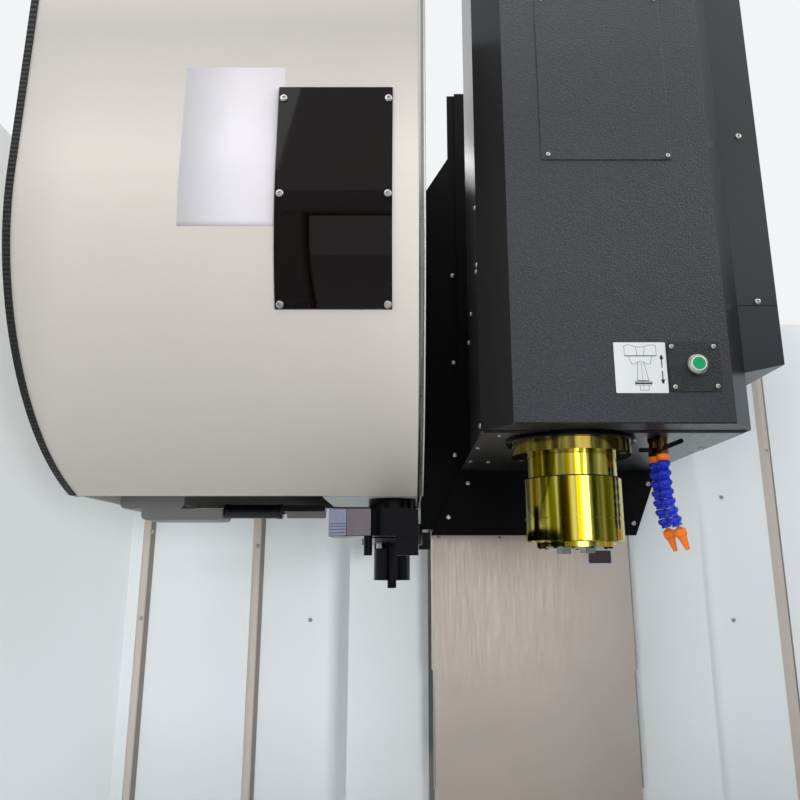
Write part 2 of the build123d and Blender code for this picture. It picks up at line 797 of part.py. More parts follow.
collet_low = 76.0
collet_high = collet_top - drawbar_stroke - 2
bar = rod_z(drawbar_radius, 0, 0, (collet_low, bar_room_top - drawbar_stroke - 2))
bar += rod_z(collet_room - 1.5, 0, 0, (collet_low, collet_high))
bar -= rod_z(7.5, 0, 0, (collet_low, collet_high - drawbar_stroke))
bar += Pos(0, 0, pin_z) * Rot(0, 90, 0) * Cylinder(pin_radius, 76)
fold_count = 5
stack_low = spring_low + drawbar_stroke + 1
fold = (spring_high - 1 - stack_low) / (2 * fold_count)
stack_outer = []
stack_inner = []
sides = 20
inner_radius = (drawbar_radius + gap) / math.cos(math.pi / sides)
for i in range(2 * fold_count + 1):
    bulge = 3.5 if i % 2 else 0
    stack_outer.append((17 + bulge, stack_low + i * fold))
    stack_inner.append((inner_radius + bulge, stack_low + i * fold))
stack = faceted(stack_outer, sides) - faceted(stack_inner, sides)
write("drawbar", at_spindle(group(bar, stack)))


# Tool-release cylinder: a ring-shaped cylinder on the head, with posts for the spindle motor

piston_face = pin_z + pin_radius + gap
release_outline = [
    (42, housing_top), (85, housing_top), (85, 600), (78, 610), (31, 610), (31, piston_face),
    (42, piston_face),
]
release = turned(release_outline)
for turn in range(4):
    release += Rot(0, 0, 90 * turn) * block((45, 75), (45, 75), (600, spindle_motor_low))
write("release_cylinder", at_spindle(release))

flange_top = spindle_motor_low + 15
barrel_top = spindle_motor_low + spindle_motor_length
motor = block((-88, 88), (-88, 88), (spindle_motor_low, flange_top))
barrel = block((-82, 82), (-82, 82), (flange_top, barrel_top))
motor += chamfer(barrel.edges().filter_by(Axis.Z), 20)
motor += rod_z(70, 0, 0, (barrel_top, barrel_top + spindle_encoder))
motor -= rod_z(journal_radius + running, 0, 0, (spindle_motor_low, shaft_top + 5))
write("spindle_motor", at_spindle(motor))


# Z-axis way cover: upper sheet on the head, middle sheet between, lower sheet on the column

upper_y = (way_cover_y, way_cover_y + way_sheet)
upper_sheet = block((-way_cover_half, way_cover_half), upper_y, (way_upper_low, pad_bottom))
upper_lip = (pad_bottom - way_sheet, pad_bottom)
upper_sheet += block((-way_cover_half, way_cover_half), (upper_y[1], head_mount_y), upper_lip)
write("way_cover_upper", upper_sheet)
middle_front = upper_y[1] + gap
middle_half = way_cover_half - 3
middle_span = (middle_front, middle_front + way_sheet)
middle_sheet = block((-middle_half, middle_half), middle_span, (way_middle_low, way_middle_high))
write("way_cover_middle", middle_sheet)
lower_face = middle_front + way_sheet + gap
lower_half = middle_half - 3
lower_fold = [
    (-lower_half, column_front), (-lower_half, lower_face),
    (lower_half, lower_face), (lower_half, column_front),
]
lower_sheet = along_z(folded(lower_fold, way_sheet), (way_cover_low, pad_bottom - head_drop - way_lap))
write("way_cover_lower", lower_sheet)


# Coolant: two ball valves under the head, their levers, segmented hoses and nozzles

valve_bottom = head_bottom - valve_drop
stem_z = head_bottom - stem_drop
levers = []
valves = []
hoses = []
nozzles = []
for (valve_x, valve_y), tilt, rise, side in zip(valve_places, hose_tilts, lever_rises, (1, -1)):
    nut_hex = extrude(RegularPolygon(valve_radius + 1, 6), 6)
    valve = Pos(valve_x, valve_y, valve_bottom) * extrude(RegularPolygon(valve_radius - 1, 12), valve_drop)
    valve += Pos(valve_x, valve_y, valve_bottom) * nut_hex
    valve += Pos(valve_x, valve_y, head_bottom - 6) * nut_hex
    valve += rod_y(3, valve_x, (valve_y - 14, valve_y), stem_z)
    valves.append(valve)
    lever = block((-5, lever_reach), (-2.5, 0), (-3.5, 3.5))
    lever = fillet(lever.edges().filter_by(Axis.Y), 3)
    lever = Rot(0, -rise, 0) * (lever if side > 0 else mirrored(lever))
    levers.append(Pos(valve_x, valve_y - 14, stem_z) * lever)
    collar = faceted([(7, -10), (9.5, -7), (9.5, 0)], 12)
    ball = faceted([(7.5, -segment_pitch), (segment_radius, -5), (segment_radius, -1.5), (7.5, 0)], 12)
    place = Pos(valve_x, valve_y, valve_bottom)
    line = [place * collar]
    place = place * Pos(0, 0, -10)
    for i in range(segment_count):
        place = place * Rot(0, -tilt * i / 2, 0)
        line.append(place * ball)
        place = place * Pos(0, 0, -segment_pitch)
    hoses += line
    tip = faceted([(3.2, -nozzle_length), (6.5, -18), (9, -14), (9, -6), (0.5, -gap)], 12)
    tip -= Pos(0, 0, -nozzle_length) * extrude(RegularPolygon(1.8, 8), 8)
    nozzles.append(place * tip)
write("coolant_valves", group(*valves))
write("coolant_hoses", group(*hoses))
write("valve_lever_right", levers[0])
write("valve_lever_left", levers[1])
write("nozzle_right", nozzles[0])
write("nozzle_left", nozzles[1])


# Tool magazine cover: a drum with straight sides above its axis, cut flat and open underneath

def drum(inset, x):
    """The solid inside the drum's outline, pulled in by inset all round, between two X values."""
    r = drum_radius - inset
    shape = rod_x(r, x, magazine_y, magazine_z)
    box = block(x, (magazine_y - r, magazine_y + r), (magazine_z, drum_roof - inset))
    shape += fillet(box.edges().filter_by(Axis.X).sort_by(Axis.Z)[2:], drum_corner - inset)
    return shape - block(x, (magazine_y - r, magazine_y + r), (magazine_z - r - 1, drum_cut))


magazine_x = (magazine_left, magazine_right)
window_x = (-424.0, -277.0)
window_low = 1785.0
window_high = 2075.0
window_lap = 12.0
rim = drum(0, magazine_x) - drum(cover_sheet, magazine_x)
opening_x = (window_x[0] + window_lap, window_x[1] - window_lap)
front_half = (magazine_y - drum_radius - 10, magazine_y - 200)
rim -= block(opening_x, front_half, (window_low + window_lap, window_high - window_lap))
rim -= block((bracket_x, bracket_x + bracket_plate), (magazine_y + 200, magazine_y + drum_radius), bracket_z)
write("magazine_rim_cover", rim)

side_inset = 8.0
left_plate_x = (magazine_left + side_inset, magazine_left + side_inset + cover_sheet)
right_plate_x = (magazine_right - 2 * cover_sheet, magazine_right - cover_sheet)
write("magazine_side_covers", group(drum(cover_sheet, left_plate_x), drum(cover_sheet, right_plate_x)))

trim_x = (magazine_left - 3, magazine_left + side_inset - 2)
trim = drum(-2.5, trim_x) - drum(cover_sheet + 2.5, trim_x)
trim -= drum(0, magazine_x) - drum(cover_sheet, magazine_x)
write("magazine_edge_trim", trim)

pane = drum(-3, window_x) - drum(0, window_x)
pane = pane & block(window_x, front_half, (window_low, window_high))
write("magazine_window", pane)


# Drip trays: two folded sheets under the back of the magazine, the upper one on its left side cover, and
# the air cylinder that pushes the lowest pot down, fixed to the end of the lower one

def tray(x, bottom, top):
    """A folded tray with rounded lower corners, open on top."""
    shell = block(x, (tray_front, tray_back), (bottom, top))
    shell = fillet(shell.edges().filter_by(Axis.Y).sort_by(Axis.Z)[:2], tray_corner)
    inner_x = (x[0] + cover_sheet, x[1] - cover_sheet)
    room = block(inner_x, (tray_front + cover_sheet, tray_back - cover_sheet), (bottom + cover_sheet, top))
    return shell - fillet(room.edges().filter_by(Axis.Y).sort_by(Axis.Z)[:2], tray_corner - cover_sheet)


upper_tray_x = (left_plate_x[1], upper_tray_end)
upper_tray = tray(upper_tray_x, upper_tray_bottom, upper_tray_bottom + 23)
lower_tray = tray(lower_tray_x, lower_tray_bottom, upper_tray_bottom)
cylinder_x = (lower_tray_x[1], lower_tray_x[1] + pot_cylinder_length)
cylinder_z = lower_tray_bottom + pot_cylinder_rise + pot_cylinder_radius
pot_cylinder = rod_x(pot_cylinder_radius, cylinder_x, pot_cylinder_y, cylinder_z)
write("drip_trays", group(upper_tray, lower_tray, pot_cylinder))


# Magazine bracket: plate with the stub shaft, and webs back to the column

plate_x = (bracket_x, bracket_x + bracket_plate)
bracket_back = wall_back + 160
web_y = (wall_back + 12, bracket_back)
bracket = block(plate_x, (-40, bracket_back), bracket_z)
bracket += block(plate_x, (-20, 180), (drum_cut + 24.5, bracket_z[0]))
for web_bottom in (bracket_z[0] + 10, bracket_z[1] - 10 - bracket_plate):
    web_z = (web_bottom, web_bottom + bracket_plate)
    bracket += block((bracket_x, -column_half_top), web_y, web_z)
bracket += block((-column_half_top - bracket_plate, -column_half_top), web_y, bracket_z)
stub_end = disc_x + 5
bracket += rod_x(stub_radius, (stub_end, bracket_x), magazine_y, magazine_z)
write("magazine_bracket", bracket)


# Magazine disc: hub, thin disc and fingers between the pots, with holes for the pots' pivot pins

def at_pot(number):
    """Frame of one pot: origin on its pivot, -X along the pot when it lies flat."""
    turn = Location((0, 0, 0), (360 / pot_count * number, 0, 0))
    return Pos(0, magazine_y, magazine_z) * turn * Pos(pot_pivot_x, 0, -pot_circle)


hub_bore = stub_radius + running
disc_span = (disc_x, disc_x + disc_thickness)
disc = rod_x(disc_radius, disc_span, magazine_y, magazine_z)
disc += rod_x(60, (disc_x, bracket_x - 10), magazine_y, magazine_z)
disc -= rod_x(hub_bore, (stub_end - 1, bracket_x), magazine_y, magazine_z)
finger_length = pot_circle + 10
finger_thickness = 5.0
finger_x = (pot_pivot_x - 10, disc_x)
for i in range(pot_count):
    turn = Location((0, 0, 0), (360 / pot_count * (i + 0.5), 0, 0))
    finger_y = (-finger_thickness / 2, finger_thickness / 2)
    finger = block((finger_x[0], finger_x[1] + disc_thickness), finger_y, (-finger_length, -disc_radius + 10))
    disc += Pos(0, magazine_y, magazine_z) * turn * finger
pin_half = pot_circle * math.tan(math.pi / pot_count) - 1.3
disc -= at_pot(0) * rod_y(pot_pin + running, 0, (-pin_half - 0.5, pin_half + 0.5), 0)
write("magazine_disc", disc)

bore_bottom = -pot_reach + taper_depth
bore_end = pot_bore - taper_depth * taper_slope
pot_outline = [
    (0, pot_back), (pot_radius, pot_back), (pot_radius, -pot_reach), (pot_bore, -pot_reach),
    (bore_end, bore_bottom), (0, bore_bottom),
]
swing_pot = Rot(0, 90, 0) * turned(pot_outline) + rod_y(pot_pin, 0, (-pin_half, pin_half), 0)
write("swing_pot", at_pot(0) * swing_pot)
fixed_pot = faceted([(pot_radius, -pot_reach), (pot_radius, pot_back)], 14)
fixed_pot -= faceted([(pot_bore, -pot_reach), (bore_end, bore_bottom)], 14)
bar_half = (pot_circle - pot_pin) * math.tan(math.pi / pot_count) - finger_thickness / 2 - gap
fixed_pot = Rot(0, 90, 0) * fixed_pot + block((-pot_pin, pot_pin), (-bar_half, bar_half), (-pot_pin, pot_pin))
write("tool_pots", group(*[at_pot(i) * fixed_pot for i in range(1, pot_count)]))


# Tool changer: cam box on the bracket, quill that plunges, and the double arm that swings

box_x = (bracket_x + bracket_plate, -243)
cam_box = block(box_x, (-20, 180), (drum_cut + 1.5, cam_box_top))
cam_box = chamfer(cam_box.edges().filter_by(Axis.Z), 12)
cam_box -= rod_z(quill_radius + running, arm_x, arm_y, (drum_cut, quill_top + 4))
write("changer_cam_box", cam_box)

arm_top = arm_bottom + arm_thickness
quill = rod_z(quill_radius, arm_x, arm_y, (arm_top + gap, quill_top))
quill -= rod_z(arm_shaft_radius + running, arm_x, arm_y, (arm_top, quill_top))
write("arm_quill", quill)

arm_z = (arm_bottom, arm_top)
half_arm = block((-arm_half_width, arm_half_width), (-arm_reach + 30, 0), arm_z)
half_arm += rod_z(grip_radius, 0, -arm_reach, arm_z)
finger_outline = [
    (finger_left, finger_back), (finger_left, finger_slope_y - finger_front),
    (finger_left + finger_slope_x, -finger_front), (finger_right, -finger_front),
    (finger_right, finger_back),
]
half_arm += Pos(0, -arm_reach, 0) * along_z(finger_outline, arm_z)
jaw = block((0, jaw_right), (-jaw_front, -grip_bore), arm_z)
jaw = fillet(jaw.edges().filter_by(Axis.Y).sort_by(Axis.X)[2:].sort_by(Axis.Z)[-1:], jaw_corner)
half_arm += Pos(0, -arm_reach, 0) * jaw
half_arm -= rod_z(grip_bore, 0, -arm_reach, arm_z)
mouth_half = grip_bore - 3
mouth_y = (-arm_reach - mouth_half, -arm_reach + mouth_half)
half_arm -= block((0, grip_radius), mouth_y, arm_z)
guide_y = (-arm_reach - grip_radius + 4, -arm_reach - grip_bore)
guide_z = (arm_bottom - guide_drop, arm_bottom)
half_arm += block((jaw_right - guide_width, jaw_right), guide_y, guide_z)
half_arm += rod_z(plunger_radius, finger_right - plunger_radius, -arm_reach - finger_front + 8, guide_z)
arm = half_arm + Rot(0, 0, 180) * half_arm
arm += rod_z(hub_radius, 0, 0, arm_z)
arm += rod_z(cap_radius, 0, 0, (arm_bottom - cap_height, arm_bottom))
arm += rod_z(stud_radius, 0, 0, (arm_bottom - cap_height - cap_stud, arm_bottom - cap_height))
arm += rod_z(arm_shaft_radius, 0, 0, (arm_top, quill_top))
write("tool_arm", Pos(arm_x, arm_y, 0) * arm)


# Enclosure side walls: one folded sheet from the chip chute up, over the top and down the outside

def side_wall(side):
    fold = [
        (-base_half_width, chute_low), (-base_half_width, base_shoulder), (-wall_x, chute_high),
        (-wall_x, wall_top), (-skin_x, wall_top), (-skin_x, wall_bottom),
    ]
    wall = along_y(folded(fold, wall_sheet), (wall_front, wall_back))
    wall -= block((-tank_half_width + 60, -base_half_width), (wall_front, base_front), (chute_low, 400))
    return wall if side < 0 else mirrored(wall)


write("enclosure_left_wall", side_wall(-1))
write("enclosure_right_wall", side_wall(1))


# Rear splash wall: two folded sheets that close the gap from the way cover to the side walls

step_x = 385.0
screen_y = column_front - 15
rear_low = 640.0


def rear_wall(ridges):
    """The left sheet, with a ridge folded into it at each joint line."""
    fold = [(-way_cover_half - 5, screen_y), (-step_x, screen_y), (-step_x, wall_back)]
    for ridge_x in ridges:
        fold += [(-ridge_x + ridge_half, wall_back), (-ridge_x + ridge_flat, wall_back - ridge_depth)]
        fold += [(-ridge_x - ridge_flat, wall_back - ridge_depth), (-ridge_x - ridge_half, wall_back)]
    fold += [(-wall_x - wall_sheet, wall_back)]
    return along_z(folded(fold, -wall_sheet), (rear_low, rear_wall_top))


bracket_hole_x = (bracket_x - 15, bracket_x + bracket_plate + 3)
bracket_hole_z = (bracket_z[0] - 10, bracket_z[1] + 10)
bracket_hole = block(bracket_hole_x, (wall_back - 10, wall_back + 10), bracket_hole_z)
write("enclosure_rear_wall", group(rear_wall(left_ridges) - bracket_hole, mirrored(rear_wall(right_ridges))))


# Enclosure front: one sheet round the door opening, its side returns, door tracks and panel lugs

door_top = door_bottom + door_height
front_z = (front_bottom, wall_top)
sheet_back = front_y + front_sheet
front = block((-skin_x, skin_x), (front_y, sheet_back), front_z)
front -= block((-door_half, door_half), (front_y, sheet_back), (door_bottom + 10, door_top - 10))
recess_half = tank_half_width + 20
front -= block((-recess_half, recess_half), (front_y, sheet_back), (front_bottom, tank_recess))
door_y = (sheet_back + door_gap, sheet_back + door_gap + door_thickness)
track_y = (sheet_back, door_y[1] + 6)
lug_places = (panel_bottom - 20, panel_top + 20)
pin_y = panel_back - 20
for side in (-1, 1):
    return_x = (-skin_x, -skin_x + front_sheet) if side < 0 else (skin_x - front_sheet, skin_x)
    front += block(return_x, (sheet_back, wall_front), front_z)
for low in (door_bottom - track_height, door_top):
    front += block((-skin_x + 10, skin_x - 10), track_y, (low, low + track_height))
for low in lug_places:
    front += block((panel_right, skin_x - 3), (pin_y - 16, front_y), (low - 10, low + 10))
pin_radius_panel = 8.0
front -= rod_z(pin_radius_panel + running, panel_pivot_x, pin_y, (panel_bottom - 40, panel_top + 40))
write("enclosure_front", front)


# Sliding doors: framed leaves with a recessed pull and a pane, shown open behind the front sheet

def door(side):
    leaf_right = -door_half - door_overlap - 0.5
    leaf_left = leaf_right - door_travel - 4
    leaf = block((leaf_left, leaf_right), door_y, (door_bottom + gap, door_top - gap))
    hole_x = (leaf_left + 80, leaf_right - 80)
    hole_z = (door_bottom + 350, door_top - 180)
    leaf -= block(hole_x, door_y, hole_z)
    leaf -= block((leaf_right - 55, leaf_right - 20), (door_y[0], door_y[0] + 18), (1300, 1460))
    middle = sum(door_y) / 2
    pane = block(hole_x, (middle - pane_thickness / 2, middle + pane_thickness / 2), hole_z)
    return (leaf, pane) if side < 0 else (mirrored(leaf), mirrored(pane))


for side, word in ((-1, "left"), (1, "right")):
    leaf, glass = door(side)
    write(f"door_{word}", leaf)
    write(f"door_window_{word}", glass)


# Control panel: a hinged box with a sloping keyboard, screen recess, keys and emergency stop

panel_section = [
    (panel_back, panel_bottom), (panel_back, panel_top), (panel_front + 25, panel_top),
    (panel_front + 25, panel_bottom + 300), (panel_front, panel_bottom + 60), (panel_front, panel_bottom),
]
panel = along_x(panel_section, (panel_left, panel_right))
screen_z = (panel_bottom + 340, panel_top - 50)
panel -= block((panel_left + 40, panel_right - 110), (panel_front + 25, panel_front + 31), screen_z)
key_slope = math.degrees(math.atan2(25, 240))
key_plane = Pos(0, panel_front + 12.5, panel_bottom + 180) * Rot(-key_slope, 0, 0)
for row in range(5):
    for place in range(8):
        key_x = panel_left + 50 + 30 * place
        key = block((key_x, key_x + 22), (-3, 4), (-90 + 38 * row, -68 + 38 * row))
        panel += key_plane * key
stop_x = panel_right - 50
stop_z = panel_top - 90
stop_face = panel_front + 25
panel -= rod_y(11, stop_x, (stop_face, stop_face + 30), stop_z)
knuckle_z = (lug_places[0] + 10 + gap, lug_places[1] - 10 - gap)
panel += block((panel_right, panel_pivot_x + 12), (pin_y - 12, pin_y + 12), knuckle_z)
panel += rod_z(pin_radius_panel, panel_pivot_x, pin_y, (lug_places[0] - 10, lug_places[1] + 10))
write("control_panel", panel)
stop = turned([(0, 0), (10.9, 0), (10.9, 32), (20, 34), (20, 44), (14, 50), (0, 50)])
write("emergency_stop", Pos(stop_x, stop_face + 25, stop_z) * Rot(90, 0, 0) * stop)


# Coolant tank under the front of the enclosure: a sheet tank on four feet, open along its top

tank_front = front_y + 15
tank = block((-tank_half_width, tank_half_width), (tank_front, tank_back), (tank_floor, tank_top))
tank = chamfer(tank.edges().filter_by(Axis.Z), 20)
tank -= block(
    (-tank_half_width + 22, tank_half_width - 22), (tank_front + front_sheet, tank_back - front_sheet),
    (tank_floor + front_sheet, tank_top - front_sheet),
)
tank -= block(
    (-tank_half_width + 60, tank_half_width - 260), (tank_front + 45, tank_back - 30),
    (tank_top - front_sheet, tank_top),
)
for foot_x in (-tank_half_width + 80, tank_half_width - 80):
    for foot_y in (tank_front + 45, tank_back - 60):
        tank += rod_z(25, foot_x, foot_y, (0, tank_floor))
pump_y = (tank_front + tank_back) / 2
tank += rod_z(50, tank_half_width - 130, pump_y, (tank_top - front_sheet, tank_top + 15))
write("coolant_tank", tank)


# Electrical cabinet on the back of the column: a shell open to the column, a door and louvres

cabinet_sheet = 4.0
door_raise = 6.0
shell_back = cabinet_back - door_raise
cabinet_x = (-cabinet_half_width, cabinet_half_width)
cabinet = block(cabinet_x, (column_back, shell_back), (cabinet_bottom, cabinet_top))
cabinet -= block(
    (-cabinet_half_width + cabinet_sheet, cabinet_half_width - cabinet_sheet),
    (column_back, shell_back - cabinet_sheet), (cabinet_bottom + cabinet_sheet, cabinet_top - cabinet_sheet),
)
leaf_x = (-cabinet_half_width + 20, cabinet_half_width - 20)
cabinet += block(leaf_x, (shell_back, cabinet_back), (cabinet_bottom + 20, cabinet_top - 20))
louvre_x = (-330, -130)
cabinet -= block(louvre_x, (shell_back, cabinet_back), (cabinet_top - 300, cabinet_top - 140))
for i in range(6):
    louvre_z = cabinet_top - 290 + 25 * i
    cabinet += block(louvre_x, (shell_back, cabinet_back - 1), (louvre_z, louvre_z + 12))
write("electrical_cabinet", cabinet)
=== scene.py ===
# %% [markdown]
# A vertical machining centre, seen through its open doors: the tool magazine on the left, the spindle
# head on the right, and sheet-metal walls behind them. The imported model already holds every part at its
# real size. This script gives each surface its finish and adds what is too fine for the model: screws,
# plates, hose segments and seams. Everything is in metres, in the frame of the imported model.

# %% Load the machine
import math
import bpy
import bmesh
from mathutils import Matrix, Vector


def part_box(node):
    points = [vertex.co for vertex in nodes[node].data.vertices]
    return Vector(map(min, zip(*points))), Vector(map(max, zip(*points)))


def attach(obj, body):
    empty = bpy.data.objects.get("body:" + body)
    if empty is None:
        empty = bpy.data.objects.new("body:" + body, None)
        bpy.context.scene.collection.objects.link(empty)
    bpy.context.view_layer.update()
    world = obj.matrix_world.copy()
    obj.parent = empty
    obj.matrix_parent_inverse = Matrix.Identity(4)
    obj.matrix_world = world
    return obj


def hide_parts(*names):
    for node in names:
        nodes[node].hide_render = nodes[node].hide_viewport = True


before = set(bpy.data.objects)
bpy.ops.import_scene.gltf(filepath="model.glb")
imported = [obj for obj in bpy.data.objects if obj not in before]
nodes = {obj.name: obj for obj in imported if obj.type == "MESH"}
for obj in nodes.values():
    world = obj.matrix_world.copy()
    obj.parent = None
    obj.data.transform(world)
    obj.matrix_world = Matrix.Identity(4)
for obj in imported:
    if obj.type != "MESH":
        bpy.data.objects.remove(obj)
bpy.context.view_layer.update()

# %% [markdown]
# The model's drawings count X and Y from the spindle axis and in millimetres, and so do the sizes below.
# The frame's origin is at the middle of the footprint instead, so one function moves a drawing place
# into the frame. The spindle axis is read from the frame, so the two can't drift apart.

# %% Places
spindle_low, spindle_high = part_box("spindle_seal_ring")
spindle_x = (spindle_low.x + spindle_high.x) / 2
spindle_y = (spindle_low.y + spindle_high.y) / 2


def place(x, y, z):
    """A point of the drawings, in millimetres, as a point of the frame, in metres."""
    return Vector((spindle_x + x / 1000, spindle_y + y / 1000, z / 1000))


print("Spindle axis at", round(spindle_x, 4), round(spindle_y, 4))

# %% [markdown]
# The photograph was taken with a wide lens at eye height, just outside the doors and tilted up by about
# 14 degrees. Blender's camera looks down its own -Z axis, so it is turned 90 degrees to look level and a
# bit more to look up. The small shifts put the optical axis where the photograph has it.

# %% Camera
camera_data = bpy.data.cameras.new("camera")
camera = bpy.data.objects.new("camera", camera_data)
bpy.context.scene.collection.objects.link(camera)
camera_data.sensor_width = 36
camera_data.lens = 33.75
camera_data.shift_x = -0.01125
camera_data.shift_y = -0.02
camera_data.clip_start = 0.05
camera.location = place(-256, -1181, 1468)
camera.rotation_euler = (math.radians(90 + 13.9), 0, 0)
bpy.context.scene.camera = camera

# %% [markdown]
# A finish is a set of shader nodes. Colours are written as sRGB hex values, as a paint chart gives them,
# while a shader counts in linear light, so one function converts them. A second function adds a node with
# its settings and links.

# %% Helpers for materials


def linear(colour):
    """An sRGB hex colour as linear red, green, blue and alpha."""
    channels = [int(colour[i:i + 2], 16) / 255 for i in (0, 2, 4)]
    return [c / 12.92 if c <= 0.04045 else ((c + 0.055) / 1.055) ** 2.4 for c in channels] + [1.0]


def add(tree, kind, inputs=None, **settings):
    """Adds one shader node. A value that is itself a socket is linked, and any other is set."""
    made = tree.nodes.new(kind)
    for name, value in settings.items():
        setattr(made, name, value)
    for name, value in (inputs or {}).items():
        if isinstance(value, bpy.types.NodeSocket):
            tree.links.new(value, made.inputs[name])
        else:
            made.inputs[name].default_value = value
    return made


def per_metre(millimetres):
    """Noise cells per metre for a grain of this size."""
    return 1000 / millimetres


def noise(tree, spot, grain, detail=2.0):
    """A noise texture whose patches have a size in millimetres."""
    return add(tree, "ShaderNodeTexNoise", {"Vector": spot, "Scale": per_metre(grain), "Detail": detail})


def math_node(tree, operation, first, second=0.5):
    """The result of one sum or comparison."""
    return add(tree, "ShaderNodeMath", {0: first, 1: second}, operation=operation).outputs[0]


def map_range(tree, value, low, high, new_low=0.0, new_high=1.0):
    """A value whose range from low to high is stretched over another."""
    limits = {"From Min": low, "From Max": high, "To Min": new_low, "To Max": new_high}
    return add(tree, "ShaderNodeMapRange", {"Value": value, **limits}).outputs[0]


def begin(name):
    """A new material: its tree, its shader and the object's own coordinates."""
    material = bpy.data.materials.new(name)
    material.use_nodes = True
    tree = material.node_tree
    tree.nodes.clear()
    shader = add(tree, "ShaderNodeBsdfPrincipled")
    output = add(tree, "ShaderNodeOutputMaterial")
    tree.links.new(shader.outputs["BSDF"], output.inputs["Surface"])
    spot = add(tree, "ShaderNodeTexCoord").outputs["Object"]
    return material, tree, shader, spot


def blend(tree, share, low, high):
    """The blend of two colours, by a share from 0 to 1."""
    return add(tree, "ShaderNodeMix", {0: share, 6: low, 7: high}, data_type="RGBA").outputs[2]


def vary(tree, shader, spot, colour, amount, patch):
    """Varies the base colour a little, lighter and darker, in patches of a size in millimetres."""
    base = linear(colour)
    patches = noise(tree, spot, patch, 3.0)
    low = [c * (1 - amount) for c in base[:3]] + [1.0]
    high = [min(1.0, c * (1 + amount)) for c in base[:3]] + [1.0]
    tree.links.new(blend(tree, patches.outputs["Fac"], low, high), shader.inputs["Base Color"])


def emboss(tree, shader, height, depth, strength=0.5):
    """Turns a height value into bumps of a depth in millimetres."""
    bump = add(tree, "ShaderNodeBump", {"Height": height, "Distance": depth / 1000, "Strength": strength})
    tree.links.new(bump.outputs["Normal"], shader.inputs["Normal"])


def dress(names, material):
    """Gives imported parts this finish."""
    for name in names.split():
        for slot in nodes[name].material_slots:
            slot.material = material
    print(material.name, "on", names)

# %% [markdown]
# The drum's cover and the walls are folded steel sheet with a powder coat. Powder flows out when it is
# baked but keeps a faint orange peel, a ripple some 3 mm wide, which breaks up the highlights. Two noise
# textures do this: one is the ripple, the other the slight drift of tone over a large panel.

# %% Powder-coated sheet


def powder_coat(name, colour, roughness, ripple=3.0, depth=0.02, drift=0.02, shine=0.5):
    """Satin powder coat: ripple is the width of its orange peel and depth its height, in millimetres."""
    material, tree, shader, spot = begin(name)
    vary(tree, shader, spot, colour, drift, 260)
    emboss(tree, shader, noise(tree, spot, ripple).outputs["Fac"], depth, 0.6)
    shader.inputs["Roughness"].default_value = roughness
    shader.inputs["Specular IOR Level"].default_value = shine
    return material


cream_coat = powder_coat("cream_powder_coat", "D3CCC3", 0.42)
pale_coat = powder_coat("pale_powder_coat", "DCE1E4", 0.38)
wall_coat = powder_coat("white_wall_coat", "EFF3F5", 0.4)
grey_coat = powder_coat("grey_powder_coat", "7C7C7A", 0.45)
dress("magazine_rim_cover magazine_side_covers", cream_coat)
dress("enclosure_left_wall enclosure_right_wall enclosure_rear_wall", wall_coat)
dress("enclosure_front door_left door_right electrical_cabinet coolant_tank", pale_coat)
dress("drip_trays", grey_coat)

# %% [markdown]
# The front of the head has a textured black coat, whose grains catch the light one by one. Its side covers
# are smooth gloss black, the duct beside it is satin, and the guard behind it is matt and swallows light.
# A Voronoi texture gives rounded grains of one size, where plain noise would give soft clouds. Real grains
# are about 1 mm apart, too fine to show from here, so they are drawn at 1.7 mm. A glint is smaller than a
# pixel too, so the tops of the grains are painted a little lighter: a painted glint. The button's plate has
# the coat of another batch, darker and finer.

# %% Black coats


def textured_black(name, colour, glint_colour, grain):
    """Coarse textured black powder coat, grains of this size in millimetres, with painted glints on the tops.
    """
    material, tree, shader, spot = begin(name)
    fine = noise(tree, spot, grain, 3.0).outputs["Fac"]
    lumps = add(tree, "ShaderNodeTexVoronoi", {"Vector": spot, "Scale": per_metre(grain * 1.4)})
    height = math_node(tree, "ADD", fine, lumps.outputs["Distance"])
    # The lighter grain tops are a painted glint.
    painted_glint_share = map_range(tree, height, 0.75, 1.25)
    tree.links.new(blend(tree, painted_glint_share, linear(colour), linear(glint_colour)), shader.inputs["Base Color"])
    emboss(tree, shader, height, 1.0, 0.7)
    shader.inputs["Roughness"].default_value = 0.3
    return material


textured_coat = textured_black("textured_black_coat", "1F2023", "303237", 1.7)
plate_coat = textured_black("fine_textured_black_coat", "101113", "1F2124", 1.6)
gloss_black = powder_coat("gloss_black_enamel", "15171B", 0.24, 9.0, 0.03, drift=0.08, shine=0.35)
satin_black = powder_coat("satin_black_enamel", "292C2F", 0.32, 6.0, drift=0.1)
guard_black = powder_coat("matt_black_enamel", "0A0B0B", 0.5, 6.0, drift=0.1, shine=0.12)
dress("head_front_cover", textured_coat)
dress("release_button_plate", plate_coat)
dress("head_side_covers", gloss_black)
dress("head_side_duct", satin_black)
dress("head_rear_guard", guard_black)

# %% [markdown]
# Castings are sanded, filled and sprayed with thick machine enamel, so their faces are smooth but never
# quite flat. The lumps are some 25 mm wide.

# %% Painted castings
casting_paint = powder_coat("machine_enamel_on_cast_iron", "CFD3D3", 0.45, 25.0, 0.12, drift=0.04)
dress("base_casting column_casting saddle_casting head_casting magazine_bracket", casting_paint)
dress("changer_cam_box release_cylinder", casting_paint)

# %% [markdown]
# Bare steel shows how it was worked: ground faces have fine straight lines and brushed sheet has long soft
# strokes. Stretching a noise texture along one axis draws both.
# The strokes change both the height and the roughness, and a metal keeps its default index of refraction.

# %% Bare steel


